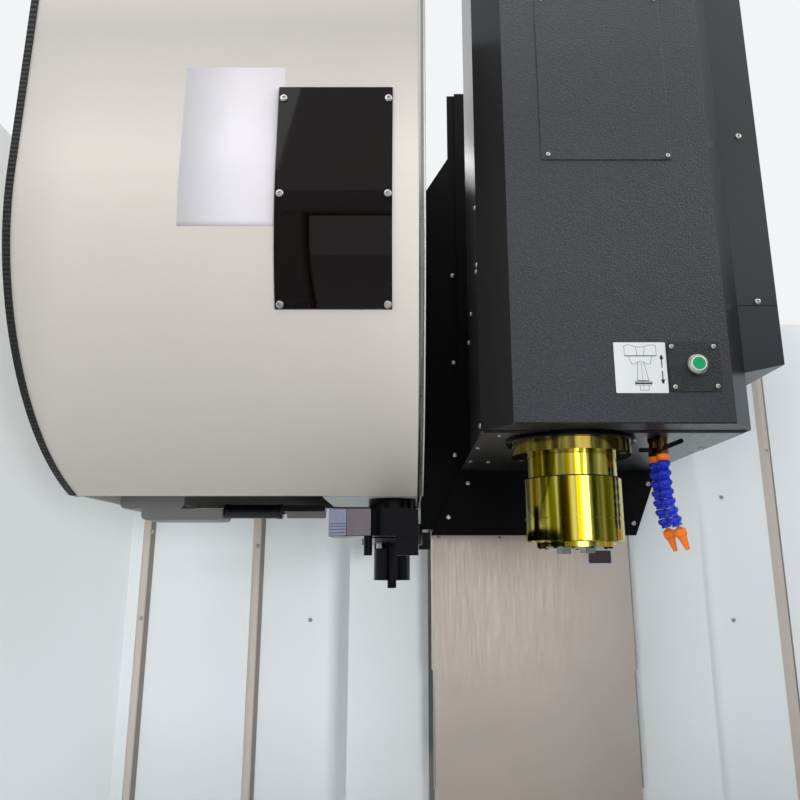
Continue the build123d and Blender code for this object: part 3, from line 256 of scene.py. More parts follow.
def worked_steel(name, colour, roughness, stroke, depth, stretch=(1.0, 1.0, 1.0)):
    """Metal with strokes of a width and depth in millimetres. A small stretch on an axis lengthens them."""
    material, tree, shader, spot = begin(name)
    vary(tree, shader, spot, colour, 0.06, 120)
    long_spot = add(tree, "ShaderNodeMapping", {"Vector": spot, "Scale": stretch})
    strokes = noise(tree, long_spot.outputs[0], stroke, 3.0).outputs["Fac"]
    rough = map_range(tree, strokes, 0.3, 0.7, roughness * 0.8, roughness * 1.25)
    tree.links.new(rough, shader.inputs["Roughness"])
    emboss(tree, shader, strokes, depth)
    shader.inputs["Metallic"].default_value = 1.0
    return material


ground_steel = worked_steel("ground_steel", "B9BAB8", 0.24, 1.0, 0.01, (0.04, 1.0, 1.0))
bright_steel = worked_steel("zinc_plated_screw_steel", "C9C7C0", 0.22, 1.5, 0.01)
stainless = worked_steel("brushed_stainless_sheet", "EFDFD4", 0.4, 1.6, 0.012, (1.0, 1.0, 0.03))
bright_sheet = worked_steel("zinc_plated_sheet", "7E8080", 0.34, 2.5, 0.01, (1.0, 0.05, 1.0))
black_oxide = worked_steel("black_oxide_steel", "1F1F22", 0.2, 2.5, 0.006)
motor_paint = powder_coat("black_motor_enamel", "141416", 0.4, 2.0, drift=0.06)
dress("linear_rails x_rails y_ballscrew x_ballscrew z_ballscrew table", ground_steel)
dress("spindle_shaft spindle_bearings drawbar magazine_disc", ground_steel)
dress("way_cover_upper way_cover_middle way_cover_lower", stainless)
dress("head_bottom_plate", bright_sheet)
dress("tool_arm arm_quill spindle_seal_ring leveling_feet valve_lever_right valve_lever_left", black_oxide)
dress("servo_motors x_motor spindle_motor", motor_paint)

# %% [markdown]
# The spindle's housing is turned and polished steel under a gold coating. It was cut on a lathe, so its
# fine rings run round the axis: a wave in Z is enough, as every ring is level. A noise that is squeezed to
# almost nothing along Z gives broad upright streaks of amber and olive. They are partly the coating's own
# tints and partly painted light: the dark olive streaks are painted shade and reflection, and the pale
# yellow streak is a painted highlight. The flange at the top was coated less and is closer to bronze, so a
# second colour takes over above its lower face.

# %% Gold-coated spindle housing


def gold_coat():
    """Polished turned steel with a gold coating, its streaks partly painted highlight and shade."""
    material, tree, shader, spot = begin("gold_coated_steel")
    # The shift moves the pale streak, a painted highlight, to where the housing faces the camera.
    shift = (0.026, 0.0077, 0)
    streaks = add(tree, "ShaderNodeMapping", {"Vector": spot, "Location": shift, "Scale": (1.0, 1.0, 0.02)})
    ramp = add(tree, "ShaderNodeValToRGB", {"Fac": noise(tree, streaks.outputs[0], 30).outputs["Fac"]})
    tints = ramp.color_ramp.elements
    tints[0].position = 0.36
    tints[0].color = linear("3A3804")
    tints[1].position = 0.66
    tints[1].color = linear("463806")
    # E8D870 is a painted highlight; the dark olive tints are partly painted shade and reflection.
    for position, colour in ((0.43, "7C740A"), (0.5, "E8D870"), (0.56, "AE9612"), (0.61, "66590A")):
        tints.new(position).color = linear(colour)
    flange_low = 1.641
    height = add(tree, "ShaderNodeSeparateXYZ", {"Vector": spot})
    above = math_node(tree, "GREATER_THAN", height.outputs["Z"], flange_low)
    bronze = blend(tree, 0.62, ramp.outputs["Color"], linear("6E5C34"))
    coat = blend(tree, above, ramp.outputs["Color"], bronze)
    tree.links.new(coat, shader.inputs["Base Color"])
    ring_scale = per_metre(1.2) / 6.283
    wave = {"Vector": spot, "Scale": ring_scale, "Distortion": 0.6}
    rings = add(tree, "ShaderNodeTexWave", wave, bands_direction="Z")
    emboss(tree, shader, rings.outputs["Fac"], 0.01, 0.4)
    shader.inputs["Metallic"].default_value = 1.0
    shader.inputs["Roughness"].default_value = 0.1
    return material


gold = gold_coat()
dress("spindle_housing", gold)

# %% [markdown]
# Moulded plastics take their colour all the way through. Acetal, from which the coolant hose is moulded,
# is a little waxy, so light goes a short way in. The pots are glass-filled nylon, which is matt. The green
# button sits in a pale collar, which is told apart by its distance from the button's axis.

# %% Moulded plastics


def plastic(name, colour, roughness, wax=0.0, depth=0.01):
    """Moulded plastic with a fine grain. Wax is how much light goes under its skin."""
    material, tree, shader, spot = begin(name)
    vary(tree, shader, spot, colour, 0.05, 30)
    emboss(tree, shader, noise(tree, spot, 1.5).outputs["Fac"], depth)
    shader.inputs["Roughness"].default_value = roughness
    shader.inputs["Subsurface Weight"].default_value = wax
    shader.inputs["Subsurface Scale"].default_value = 0.003
    return material


blue_acetal = plastic("blue_acetal", "1E30C0", 0.2, 0.1)
orange_acetal = plastic("orange_acetal", "FF7E1A", 0.3, 0.15)
green_button = plastic("green_push_button", "0E8F5A", 0.3)


def pale_rim(material, centre, radius):
    """Gives a round button a pale rim outside a radius in metres, about an axis along Y."""
    tree = material.node_tree
    base = tree.nodes["Principled BSDF"].inputs["Base Color"]
    spot = add(tree, "ShaderNodeTexCoord").outputs["Object"]
    flat = add(tree, "ShaderNodeMapping", {"Vector": spot, "Scale": (1.0, 0.0, 1.0)})
    middle = (centre.x, 0.0, centre.z)
    away = add(tree, "ShaderNodeVectorMath", {0: flat.outputs[0], 1: middle}, operation="DISTANCE")
    rim = math_node(tree, "GREATER_THAN", away.outputs["Value"], radius)
    face = base.links[0].from_socket
    tree.links.new(blend(tree, rim, face, linear("D5D8D8")), base)


pale_rim(green_button, place(158, 0, 1754), 0.0094)
red_button = plastic("red_mushroom_button", "C51A1A", 0.3)
dark_nylon = plastic("glass_filled_nylon", "2C2C2F", 0.55, depth=0.03)
panel_plastic = plastic("grey_panel_housing", "C3C8CA", 0.45, depth=0.03)
dress("nozzle_right nozzle_left", orange_acetal)
dress("release_button", green_button)
dress("emergency_stop", red_button)
dress("tool_pots swing_pot", dark_nylon)
dress("control_panel", panel_plastic)

# %% [markdown]
# Brass valves are turned from bar and dull a little in coolant mist.

# %% Brass
brass = worked_steel("machined_brass", "7C5A38", 0.3, 1.0, 0.01)
dress("coolant_valves", brass)

# %% [markdown]
# The extruded trim on the drum's edge is rubber with fine ribs across it. The ribs follow the rim, so
# their place comes from the angle about the drum's axis: the arc tangent of Object coordinates, times the
# number of ribs, gives a sine wave round the rim.

# %% Ribbed rubber trim


def ribbed_rubber(pitch):
    """Black rubber with ribs of this pitch, in millimetres, round the drum's axis."""
    material, tree, shader, spot = begin("ribbed_rubber_trim")
    vary(tree, shader, spot, "121212", 0.15, 60)
    trim_low, trim_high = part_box("magazine_edge_trim")
    centre_y = (trim_low.y + trim_high.y) / 2
    axis_below_top = 0.4425
    centre_z = trim_high.z - axis_below_top
    radius = (trim_high.y - trim_low.y) / 2
    parts = add(tree, "ShaderNodeSeparateXYZ", {"Vector": spot})
    across = math_node(tree, "SUBTRACT", parts.outputs["Y"], centre_y)
    up = math_node(tree, "SUBTRACT", parts.outputs["Z"], centre_z)
    angle = math_node(tree, "ARCTAN2", up, across)
    ribs = 2 * math.pi * radius / (pitch / 1000)
    wave = math_node(tree, "SINE", math_node(tree, "MULTIPLY", angle, ribs))
    emboss(tree, shader, wave, 1.2, 0.8)
    shader.inputs["Roughness"].default_value = 0.5
    return material


rubber = ribbed_rubber(6.0)
dress("magazine_edge_trim", rubber)

# %% [markdown]
# The magazine's window is smoked acrylic, so dark that it mirrors the room more than it shows the pots.
# The doors have clear polycarbonate. Both are Principled glass: transmission with a colour of its own.

# %% Windows


def pane(name, colour, roughness, transmission, shine):
    """A glossy plastic pane."""
    material, tree, shader, spot = begin(name)
    smear = noise(tree, spot, 70, 3.0).outputs["Fac"]
    rough = map_range(tree, smear, 0.0, 1.0, roughness * 0.6, roughness * 1.6)
    tree.links.new(rough, shader.inputs["Roughness"])
    shader.inputs["Base Color"].default_value = linear(colour)
    shader.inputs["Transmission Weight"].default_value = transmission
    shader.inputs["IOR"].default_value = 1.49
    shader.inputs["Specular IOR Level"].default_value = shine
    return material


smoked = pane("smoked_acrylic", "0E0704", 0.03, 0.3, 0.12)
clear = pane("clear_polycarbonate", "E8EEEE", 0.05, 0.95, 0.5)
dress("magazine_window", smoked)
dress("door_window_left door_window_right", clear)

# %% [markdown]
# New pieces are modelled in the drawings' millimetres and moved into the frame at the end. A piece is built
# in a bmesh, Blender's editable mesh. Small parts that repeat, such as screws, are made once and stamped
# into the larger shape wherever they are needed, so that a set of screws makes a single piece.

# %% Helpers for pieces
into_frame = Matrix.Translation(place(0, 0, 0)) @ Matrix.Scale(0.001, 4)


def moved(part, matrix):
    """Moves or stretches a part and returns it."""
    bmesh.ops.transform(part, matrix=matrix, verts=part.verts)
    return part


def stamp(shape, part, matrix=Matrix.Identity(4)):
    """Copies a small part into a shape at a place, and leaves the part as it was."""
    copy = moved(part.copy(), matrix)
    mesh = bpy.data.meshes.new("stamp")
    copy.to_mesh(mesh)
    copy.free()
    shape.from_mesh(mesh)
    bpy.data.meshes.remove(mesh)


to_front, to_back = (0, -1, 0), (0, 1, 0)
to_left, to_right, down = (-1, 0, 0), (1, 0, 0), (0, 0, -1)


def facing(at, out):
    """A place whose own Z axis points outwards."""
    turn = Vector((0, 0, 1)).rotation_difference(Vector(out))
    return Matrix.Translation(at) @ turn.to_matrix().to_4x4()


def around(middle, radius, count, first=0):
    """Places evenly spaced on a level circle, the first of them at an angle in degrees."""
    for number in range(count):
        angle = math.radians(first + 360 / count * number)
        yield Vector(middle) + Vector((radius * math.cos(angle), radius * math.sin(angle), 0))


def bevel(shape, edges, width, segments=2):
    """Rounds edges. The operator's defaults differ from the editor's, so they are all given."""
    bmesh.ops.bevel(
        shape, geom=list(edges), offset=width, offset_type="OFFSET", affect="EDGES", segments=segments,
        profile=0.5, material=-1,
    )


def along_y(edge):
    """How far an edge runs along Y: 1 if it does, 0 if it lies across it."""
    return abs((edge.verts[0].co - edge.verts[1].co).normalized().y)


def box(x, y, z, corner=0.0, edge=0.0):
    """A box between two values on each axis. Its corners along Y and then its rims are rounded."""
    part = bmesh.new()
    bmesh.ops.create_cube(part, size=1)
    size = Vector((x[1] - x[0], y[1] - y[0], z[1] - z[0]))
    middle = Vector((x[0] + x[1], y[0] + y[1], z[0] + z[1])) / 2
    moved(part, Matrix.Translation(middle) @ Matrix.Diagonal(size).to_4x4())
    if corner:
        bevel(part, [e for e in part.edges if along_y(e) > 0.9], corner, 4)
    if edge:
        bevel(part, [e for e in part.edges if along_y(e) < 0.1], edge, 1)
    return part


def box_set(spans, corner=0.0, edge=0.0):
    """Several such boxes in one shape."""
    shape = bmesh.new()
    for x, y, z in spans:
        part = box(x, y, z, corner, edge)
        stamp(shape, part)
        part.free()
    return shape


def turned(profile, steps=32):
    """Spins a profile of (radius, height) points round the Z axis."""
    part = bmesh.new()
    verts = [part.verts.new((radius, 0, height)) for radius, height in profile]
    edges = [part.edges.new(pair) for pair in zip(verts, verts[1:])]
    bmesh.ops.spin(
        part, geom=verts + edges, cent=(0, 0, 0), axis=(0, 0, 1), angle=2 * math.pi, steps=steps,
        use_merge=True,
    )
    bmesh.ops.remove_doubles(part, verts=part.verts, dist=0.001)
    bmesh.ops.recalc_face_normals(part, faces=part.faces)
    return part


def piece(name, shape, material, body):
    """Makes a shape in drawing millimetres a finished piece that rides on a body."""
    moved(shape, into_frame)
    mesh = bpy.data.meshes.new(name)
    shape.to_mesh(mesh)
    shape.free()
    mesh.shade_smooth()
    mesh.set_sharp_from_angle(angle=math.radians(32))
    mesh.materials.append(material)
    made = bpy.data.objects.new(name, mesh)
    bpy.context.scene.collection.objects.link(made)
    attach(made, body)
    print(name, "rides on", body, "with", len(mesh.polygons), "faces")
    return made


# %% [markdown]
# The covers are held by zinc-plated button-head screws. A real one is a dome with a hexagon socket. The
# dome is a short cone whose rim is bevelled. The socket starts as an inset of the twelve-sided top face:
# pulling in every second corner of it turns the twelve sides into six, and the face is then pushed down.
# Each group of places has the way its screws face. On the drum they stand square to its curved front.

# %% Screws


def button_screw(radius):
    """A button-head screw standing on Z = 0."""
    part = bmesh.new()
    height = radius * 0.6
    bmesh.ops.create_cone(
        part, cap_ends=True, cap_tris=False, segments=12, radius1=radius, radius2=radius * 0.92,
        depth=height,
    )
    bmesh.ops.translate(part, vec=(0, 0, height / 2), verts=part.verts)
    top = max(part.faces, key=lambda f: f.calc_center_median().z)
    bevel(part, top.edges, radius * 0.32, 3)
    top = max(part.faces, key=lambda f: f.calc_center_median().z)
    bmesh.ops.inset_individual(part, faces=[top], thickness=radius * 0.12, use_even_offset=True)
    socket = radius * 0.42
    corners = sorted(top.verts, key=lambda v: math.atan2(v.co.y, v.co.x))
    for number, vert in enumerate(corners):
        flat = vert.co.to_2d().normalized() * socket * (1 if number % 2 else math.cos(math.pi / 6))
        vert.co.x, vert.co.y = flat
    walls = bmesh.ops.extrude_discrete_faces(part, faces=[top])
    bmesh.ops.translate(part, vec=(0, 0, -height * 0.6), verts=walls["faces"][0].verts)
    return part


screw_m4 = button_screw(3.8)
screw_m6 = button_screw(5.25)
cap_screw = turned([(0, 0), (4.6, 0), (4.6, 5.6), (4.2, 6), (2.6, 6), (2.6, 3), (0, 3)], 16)
head_screws = bmesh.new()
frame_screws = bmesh.new()
access_front, button_front, guard_front, cover_front = -140.5, -141, 376, 440
head_left, head_bottom = -150, 1668
for screw, out, spots in (
    (screw_m4, to_front, [(x, access_front, z) for x, z in (
        (144, 2089), (-41, 2091), (144, 2374), (-41, 2374))]),
    (screw_m4, to_front, [(x, button_front, z) for x, z in (
        (123, 1781), (184, 1781), (124, 1721), (185, 1722))]),
    (screw_m4, to_left, [(head_left, y, z) for y, z in (
        (-78, 2032), (-85, 1931), (-74, 1924), (33, 1891), (92, 1858), (-85, 1675))]),
    (screw_m4, down, [(x, y, head_bottom) for x, y in (
        (-140, 77), (-139, 240), (-117, -41), (-105, 246), (238, 77), (238, 240), (100, 246))]),
    (screw_m4, to_front, [(x, cover_front, 1533) for x in (-194, -64, 66)]),
    (screw_m6, to_front, [(285.5, -80, z) for z in (1872, 2160, 2450)]),
    (screw_m6, to_right, [(316, y, z) for z in (1900, 2400) for y in (-30, 250)]),
    (screw_m6, to_front, [(x, guard_front, z) for x, z in (
        (-134, 1642), (-175, 1572), (238, 1640), (203, 1560), (-160, 1700), (-160, 1900), (-160, 2100))]),
):
    for spot in spots:
        stamp(head_screws, screw, facing(spot, out))
flange_under, rear_wall, rear_ridge = 1646.8, 600, 589
drum_y, drum_z, drum_radius = 73, 1956, 400


def on_drum(z, proud=0.0):
    """The Y of the drum's front at a height: a circle below its axis and a plane above it."""
    drop = max(0.0, drum_z - z)
    return drum_y - math.sqrt((drum_radius + proud) ** 2 - drop ** 2)


def drum_normal(z):
    """The outward direction of the drum's front at a height."""
    drop = max(0.0, drum_z - z)
    return Vector((0, on_drum(z) - drum_y, -drop)).normalized()


for x in (-417.5, -282.5):
    for z in (1790, 1924, 2058):
        stamp(frame_screws, screw_m6, facing((x, on_drum(z, 3), z), drum_normal(z)))
for z in (1357, 1634, 1911):
    for x in (-480, 480, 872):
        stamp(frame_screws, screw_m6, facing((x, rear_wall, z), to_front))
for x, z in ((-851, 1553), (-861, 1362), (-605, 1521), (595, 1745)):
    stamp(frame_screws, screw_m6, facing((x, rear_ridge, z), to_front))
for spot in around((0, 0, flange_under), 82, 6, 30):
    stamp(head_screws, cap_screw, facing(spot, down))
piece("head_screws", head_screws, bright_steel, "head")
piece("cover_screws", frame_screws, bright_steel, "frame")

# %% [markdown]
# The access plate on the head, the pictogram plate and the bare plates are cut sheet with small rounded
# corners. They lie on top of the cover, so a thin shadow shows round each. Each is a bevelled box.

# %% Plates on the head
head_front = -139
access = box((-52, 150), (head_front - 1.6, head_front), (2082.5, 2381), corner=2, edge=0.4)
piece("access_plate", access, textured_coat, "head")

white_film = plastic("white_printed_film", "CBCDCE", 0.35)
# This black is print on the pictogram and painted groove shade on the tool arm.
ink_and_groove_shade = plastic("black_ink_and_painted_groove_shade", "17181A", 0.5)
sign = box((40, 115), (head_front - 0.5, head_front), (1712.5, 1788), corner=1.5, edge=0.1)
piece("pictogram_plate", sign, white_film, "head")


def stroke(shape, a, b, width):
    """One printed line from a to b, both (X, Z), a hair proud of the plate."""
    a, b = Vector(a), Vector(b)
    length = (b - a).length + width
    line = box((-length / 2, length / 2), (-0.05, 0.05), (-width / 2, width / 2))
    middle = (a + b) / 2
    angle = math.atan2(b.y - a.y, b.x - a.x)
    turn = Matrix.Translation((middle.x, head_front - 0.55, middle.y)) @ Matrix.Rotation(-angle, 4, "Y")
    stamp(shape, line, turn)
    line.free()


drawing = bmesh.new()
housing = [
    (55, 1767.6), (55, 1783), (61, 1784.3), (70, 1782), (78, 1780.6), (86, 1782), (95, 1784.3), (101, 1783),
    (101, 1767.6),
]
collet = [
    (61, 1767), (64.5, 1755.5), (70.5, 1755.5), (73, 1758.5), (82.5, 1758.5), (85, 1755.5), (91.5, 1755.5),
    (94.5, 1767),
]
cone_left = [(73.5, 1758.5), (71.5, 1731)]
cone_right = [(82, 1758.5), (87.5, 1731)]
flange = [(67.5, 1729.5), (68.5, 1724), (91, 1724), (92, 1729.5), (67.5, 1729.5)]
stub = [(74.5, 1723), (74.5, 1716.5), (87, 1716.5), (87, 1723)]
taper_left = [(72, 1780.5), (73, 1768)]
taper_right = [(84.5, 1781), (82.5, 1768)]
for line in (housing, collet, cone_left, cone_right, flange, stub, taper_left, taper_right):
    for a, b in zip(line, line[1:]):
        stroke(drawing, a, b, 0.55)
stroke(drawing, (55.5, 1767.6), (100.5, 1767.6), 1.4)
stroke(drawing, (71.5, 1730.6), (87.5, 1730.6), 1.2)
stroke(drawing, (69, 1726.8), (91, 1726.8), 2.6)
stroke(drawing, (78.5, 1756), (79.5, 1718), 0.4)
arrow_x = 108.0
for tip, way in ((1769.5, -1), (1725.5, 1)):
    stroke(drawing, (arrow_x, tip + way * 5), (arrow_x, tip + way * 19), 1.5)
    for width in (1, 2, 3):
        middle = tip + way * width * 2
        stroke(drawing, (arrow_x - width * 0.55, middle), (arrow_x + width * 0.55, middle), 2.0)
piece("pictogram", drawing, ink_and_groove_shade, "head")

# This black is the real seal ring at the spindle's step, and painted shade in the bands below.
foam_and_shade = plastic("black_foam_rubber_and_painted_shade", "0B0B0C", 0.8, depth=0.05)
# The first box is a painted shadow line under the front cover's bottom edge. The second is a black band,
# wider than the real gap, as painted shade of the gap between the cover's lip and the bottom plate. The third
# box is the duct's seam.
shadow_lines_and_seam = box_set([
    ((-106, 206), (head_front - 0.3, head_front), (1668, 1670.2)),
    ((-145, 245), (-88, -70), (1667.1, 1668.1)), ((252, 316), (-80.3, -80), (1865.4, 1866.6)),
])
piece("head_painted_shadow_lines_and_seam", shadow_lines_and_seam, foam_and_shade, "head")

bezel = turned([(11.6, 0), (14.2, 0), (15, 1.2), (15, 5), (13.6, 6.6), (11.9, 6.9), (11.6, 6)], 48)
bezel = moved(bezel, facing((158, button_front, 1754), to_front))
piece("button_bezel", bezel, bright_steel, "head")

# %% [markdown]
# A black sealing ring lies in the step of the spindle's housing, and twelve screws hold the ring at its nose.

# %% Spindle details
step_ring = turned([(69.6, 0), (75.2, 0), (75.4, 0.5), (75.4, 1.3), (75, 1.8), (69.6, 1.8)], 64)
step_ring = moved(step_ring, Matrix.Translation((0, 0, 1603.2)))
piece("housing_step_seal", step_ring, foam_and_shade, "head")
nose_screws = bmesh.new()
nose_screw = turned([(0, 0), (3.2, 0), (3.2, 1.6), (2.8, 2), (1.6, 2), (1.6, 0.8), (0, 0.8)], 14)
nose_z = 1501
for spot in around((0, 0, nose_z), 53, 12, 15):
    stamp(nose_screws, nose_screw, facing(spot, down))
piece("nose_ring_screws", nose_screws, black_oxide, "head")

# %% [markdown]
# The coolant hose is a chain of moulded balls and sockets that snap together, so it bends and stays bent.
# Each segment is one turned profile: a socket that flares over the next one's ball. Every segment is
# turned a little against the one before it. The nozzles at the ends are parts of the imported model, because
# they swivel.

# %% Segmented hoses
segment_pitch = 14.3
segment = turned([
    (4.6, -14.3), (6.9, -14.3), (7.6, -13.2), (7.2, -11.6), (6.6, -10.4), (7.6, -9.4), (9.1, -8.0),
    (10.0, -6.2), (10.3, -4.4), (10.0, -2.7), (9.1, -1.3), (7.6, -0.6), (4.6, -0.6),
], 28)
collar_profile = [(4.6, -10), (7.2, -10), (8.2, -8.6), (9.5, -7.4), (9.5, -0.8), (9.1, -0.4), (4.6, -0.4)]
collar = turned(collar_profile, 28)
hoses = bmesh.new()
collars = bmesh.new()
for x, y, tilt in ((133, -40, 1.9), (130, -10, 1.5)):
    spot = Matrix.Translation((x, y, 1640))
    stamp(collars, collar, spot)
    spot = spot @ Matrix.Translation((0, 0, -10))
    for number in range(7):
        spot = spot @ Matrix.Rotation(math.radians(-tilt * number / 2), 4, "Y")
        stamp(hoses, segment, spot)
        spot = spot @ Matrix.Translation((0, 0, -segment_pitch))
segments = piece("hose_segments", hoses, blue_acetal, "head")
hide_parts("coolant_hoses")
piece("hose_collars", collars, orange_acetal, "head")

# %% [markdown]
# A bare lacquered plate is fixed to the drum, where such machines carry their printed notes. It lies
# flat on the straight side above the drum's axis and follows the curve below. The curve is a short edge
# spun about the drum's axis, the straight part is the same edge extruded upwards, and Solidify gives both
# their thickness. A small one with a dark field is fixed to the way cover.

# %% Bare plates
satin_plate = powder_coat("satin_plate_lacquer", "DEDADE", 0.5, 2.0, 0.01)
plate = bmesh.new()
reach = drum_radius + 0.1
plate_low, straight = 1884, 150
ends = [plate.verts.new((x, drum_y - reach, drum_z)) for x in (-546, -417)]
edge = plate.edges.new(ends)
curl = math.asin((drum_z - plate_low) / reach)
bmesh.ops.spin(
    plate, geom=ends + [edge], cent=(0, drum_y, drum_z), axis=(1, 0, 0), angle=curl, steps=10,
    use_duplicate=False,
)
top_edge = [e for e in plate.edges if all(abs(v.co.z - drum_z) < 0.01 for v in e.verts)]
raised = bmesh.ops.extrude_edge_only(plate, edges=top_edge)
up = [g for g in raised["geom"] if isinstance(g, bmesh.types.BMVert)]
bmesh.ops.translate(plate, vec=(0, 0, straight), verts=up)
bmesh.ops.recalc_face_normals(plate, faces=plate.faces)
bare = piece("bare_drum_plate", plate, satin_plate, "frame")
thick = bare.modifiers.new("thickness", "SOLIDIFY")
thick.thickness = 0.0008
thick.offset = 0

small = box((117, 174), (cover_front - 1.4, cover_front), (1476, 1512), corner=2, edge=0.4)
piece("small_bare_plate", small, satin_plate, "head")
dark_field = plastic("dark_red_film", "4A3434", 0.35)
field = box((122, 169), (438.2, 438.6), (1481, 1507), corner=1, edge=0.1)
piece("small_plate_field", field, dark_field, "head")

# %% [markdown]
# The drum's open edge towards the head is closed by a rounded bead of extruded aluminium. A bead is one
# small section drawn along a path. The path here is arcs and straight runs, so the section is spun about
# an X axis for each arc and moved in a spin of no angle for each straight run.

# %% Bead on the drum's right edge


def drawn(section, legs):
    """Draws a closed section along legs: (centre, degrees) is an arc and (0, move) a straight run."""
    bead = bmesh.new()
    verts = [bead.verts.new(point) for point in section]
    last = verts + [bead.edges.new(pair) for pair in zip(verts, verts[1:] + verts[:1])]
    for centre, amount in legs:
        if centre:
            steps = max(1, round(abs(amount) / 3))
            leg = {"cent": (0, *centre), "angle": math.radians(amount), "steps": steps}
        else:
            leg = {"dvec": amount, "steps": 1}
        made = bmesh.ops.spin(bead, geom=last, axis=(1, 0, 0), use_merge=False, use_duplicate=False, **leg)
        last = made["geom_last"]
    rims = [e for e in bead.edges if e.is_boundary]
    bmesh.ops.holes_fill(bead, edges=rims, sides=0)
    bmesh.ops.recalc_face_normals(bead, faces=bead.faces)
    return bead


drum_axis = (drum_y, drum_z)
drum_top, drum_corner, drum_cut = 2396, 120, 1575.5
drum_front, drum_back = drum_y - drum_radius, drum_y + drum_radius
cut_angle = math.degrees(math.asin((drum_z - drum_cut) / drum_radius))
corner_z = drum_top - drum_corner
section = [
    (x, drum_front - proud, drum_z) for x, proud in (
        (-243.6, -1.5), (-243.6, 0.2), (-242.2, 1.0), (-239.6, 1.2), (-237.2, 0.6), (-235.5, -0.8),
        (-234.6, -3), (-234.4, -7), (-236.4, -7), (-237.0, -3.2), (-239.0, -1.5),
    )
]
turn = (
    Matrix.Translation((0, *drum_axis)) @ Matrix.Rotation(math.radians(cut_angle), 4, "X")
    @ Matrix.Translation((0, -drum_axis[0], -drum_axis[1]))
)
bead = drawn(
    [turn @ Vector(point) for point in section],
    [
        (drum_axis, -cut_angle), (0, (0, 0, corner_z - drum_z)), ((drum_front + drum_corner, corner_z), -90),
        (0, (0, 2 * (drum_radius - drum_corner), 0)), ((drum_back - drum_corner, corner_z), -90),
        (0, (0, 0, drum_z - corner_z)), (drum_axis, -cut_angle),
    ],
)
aluminium = worked_steel("extruded_aluminium", "8F908C", 0.28, 1.2, 0.01)
piece("drum_edge_bead", bead, aluminium, "frame")

# %% [markdown]
# Warm grey joint strips cover the ridges where the sheets of the rear wall meet. Each is the outline of a
# ridge, a hair larger, drawn straight up, with a darker strip down its right flank that is painted shade. The
# folded edges of the way cover catch the light as bright lines.

# %% Strips on the rear wall and the way cover
strip_coat = powder_coat("warm_grey_joint_strip", "D6CABF", 0.45)
# The darker taupe is painted shade on the ridges' right flanks.
flank_shade_paint = plastic("taupe_painted_flank_shade", "8E8780", 0.55)
joint_strips = bmesh.new()
painted_flank_shade = bmesh.new()
wall_low = 642
wall_height = 1418
strip_outline = [
    (-13.4, 599.6), (-5.1, 588.6), (5.1, 588.6), (13.4, 599.6), (12.9, 599.9), (4.9, 588.9), (-4.9, 588.9),
    (-12.9, 599.9),
]
# On each ridge's right flank a darker strip is painted shade, for the flank turned away from the light.
flank_shade_outline = [(7.2, 590.2), (14.6, 599.5), (14.0, 600.1), (7.0, 591.4)]
for x in (-861, -605, 595, 861):
    for target, outline in ((joint_strips, strip_outline), (painted_flank_shade, flank_shade_outline)):
        points = [Vector((x + across, y, wall_low)) for across, y in outline]
        one = drawn(points, [(0, (0, 0, wall_height))])
        stamp(target, one)
        one.free()
piece("wall_joint_strips", joint_strips, strip_coat, "frame")
piece("wall_joint_painted_flank_shade", painted_flank_shade, flank_shade_paint, "frame")
for name, half, front_y, low, high, body in (
    ("upper_cover_edges", 209, 440.0, 1272, 1598, "head"),
    ("middle_cover_edges", 206, 441.8, 1052, 1333, "way_cover"),
):
    y = (front_y - 0.6, front_y)
    edges = box_set([((-half, 3 - half), y, (low, high)), ((half - 3, half), y, (low, high))], edge=0.2)
    piece(name, edges, bright_steel, body)

# %% [markdown]
# The tool arm's gripper housings are closed by ground plates, which the grinding heat has tinted lilac and
# pinkish. They sit on the front face and on the slanted one beside it. The arm has the same parts at both
# ends, so each is made once and stamped a second time half a turn about the arm's axis.

# %% Details of the tool arm
lilac_steel = worked_steel("heat_tinted_ground_steel", "9FA0B8", 0.3, 1.2, 0.01, (0.05, 1.0, 1.0))
pink_steel = worked_steel("heat_tinted_pink_steel", "8B8087", 0.45, 1.2, 0.01, (1.0, 1.0, 0.05))
arm_axis = Vector((-283, 36.5, 0))
half_turn = Matrix.Translation(arm_axis) @ Matrix.Rotation(math.pi, 4, "Z") @ Matrix.Translation(-arm_axis)
finger_y = -290.9
slope_start = Vector((-351, -278.9, 0))
slope_end = Vector((-329, finger_y, 0))
slope = slope_end - slope_start
slope_turn = Matrix.Translation((slope_start + slope_end) / 2) @ Matrix.Rotation(
    math.atan2(slope.y, slope.x), 4, "Z")


def both_ends(shape, part, matrix=Matrix.Identity(4)):
    """Stamps a small part at both ends of the arm."""
    stamp(shape, part, matrix)
    stamp(shape, part, half_turn @ matrix)


front_plates = bmesh.new()
plate = box((-328.8, -299.4), (finger_y - 0.4, finger_y), (1506.6, 1537.4), corner=1, edge=0.2)
both_ends(front_plates, plate)
piece("gripper_front_plates", front_plates, pink_steel, "arm")
side_plates = bmesh.new()
# The four dark lines on each slanted plate are painted shade, standing for the shade in its grooves.
groove_shade_lines = bmesh.new()
plate = box((-slope.length / 2, slope.length / 2 - 0.4), (-0.4, 0), (1506.6, 1537.4), corner=1, edge=0.2)
both_ends(side_plates, plate, slope_turn)
for z in (1509.5, 1513.5, 1517, 1520):
    line = box((-slope.length / 2 + 1, slope.length / 2 - 1), (-0.5, -0.4), (z, z + 0.7))
    both_ends(groove_shade_lines, line, slope_turn)
piece("gripper_side_plates", side_plates, lilac_steel, "arm")
piece("gripper_painted_groove_shade", groove_shade_lines, ink_and_groove_shade, "arm")

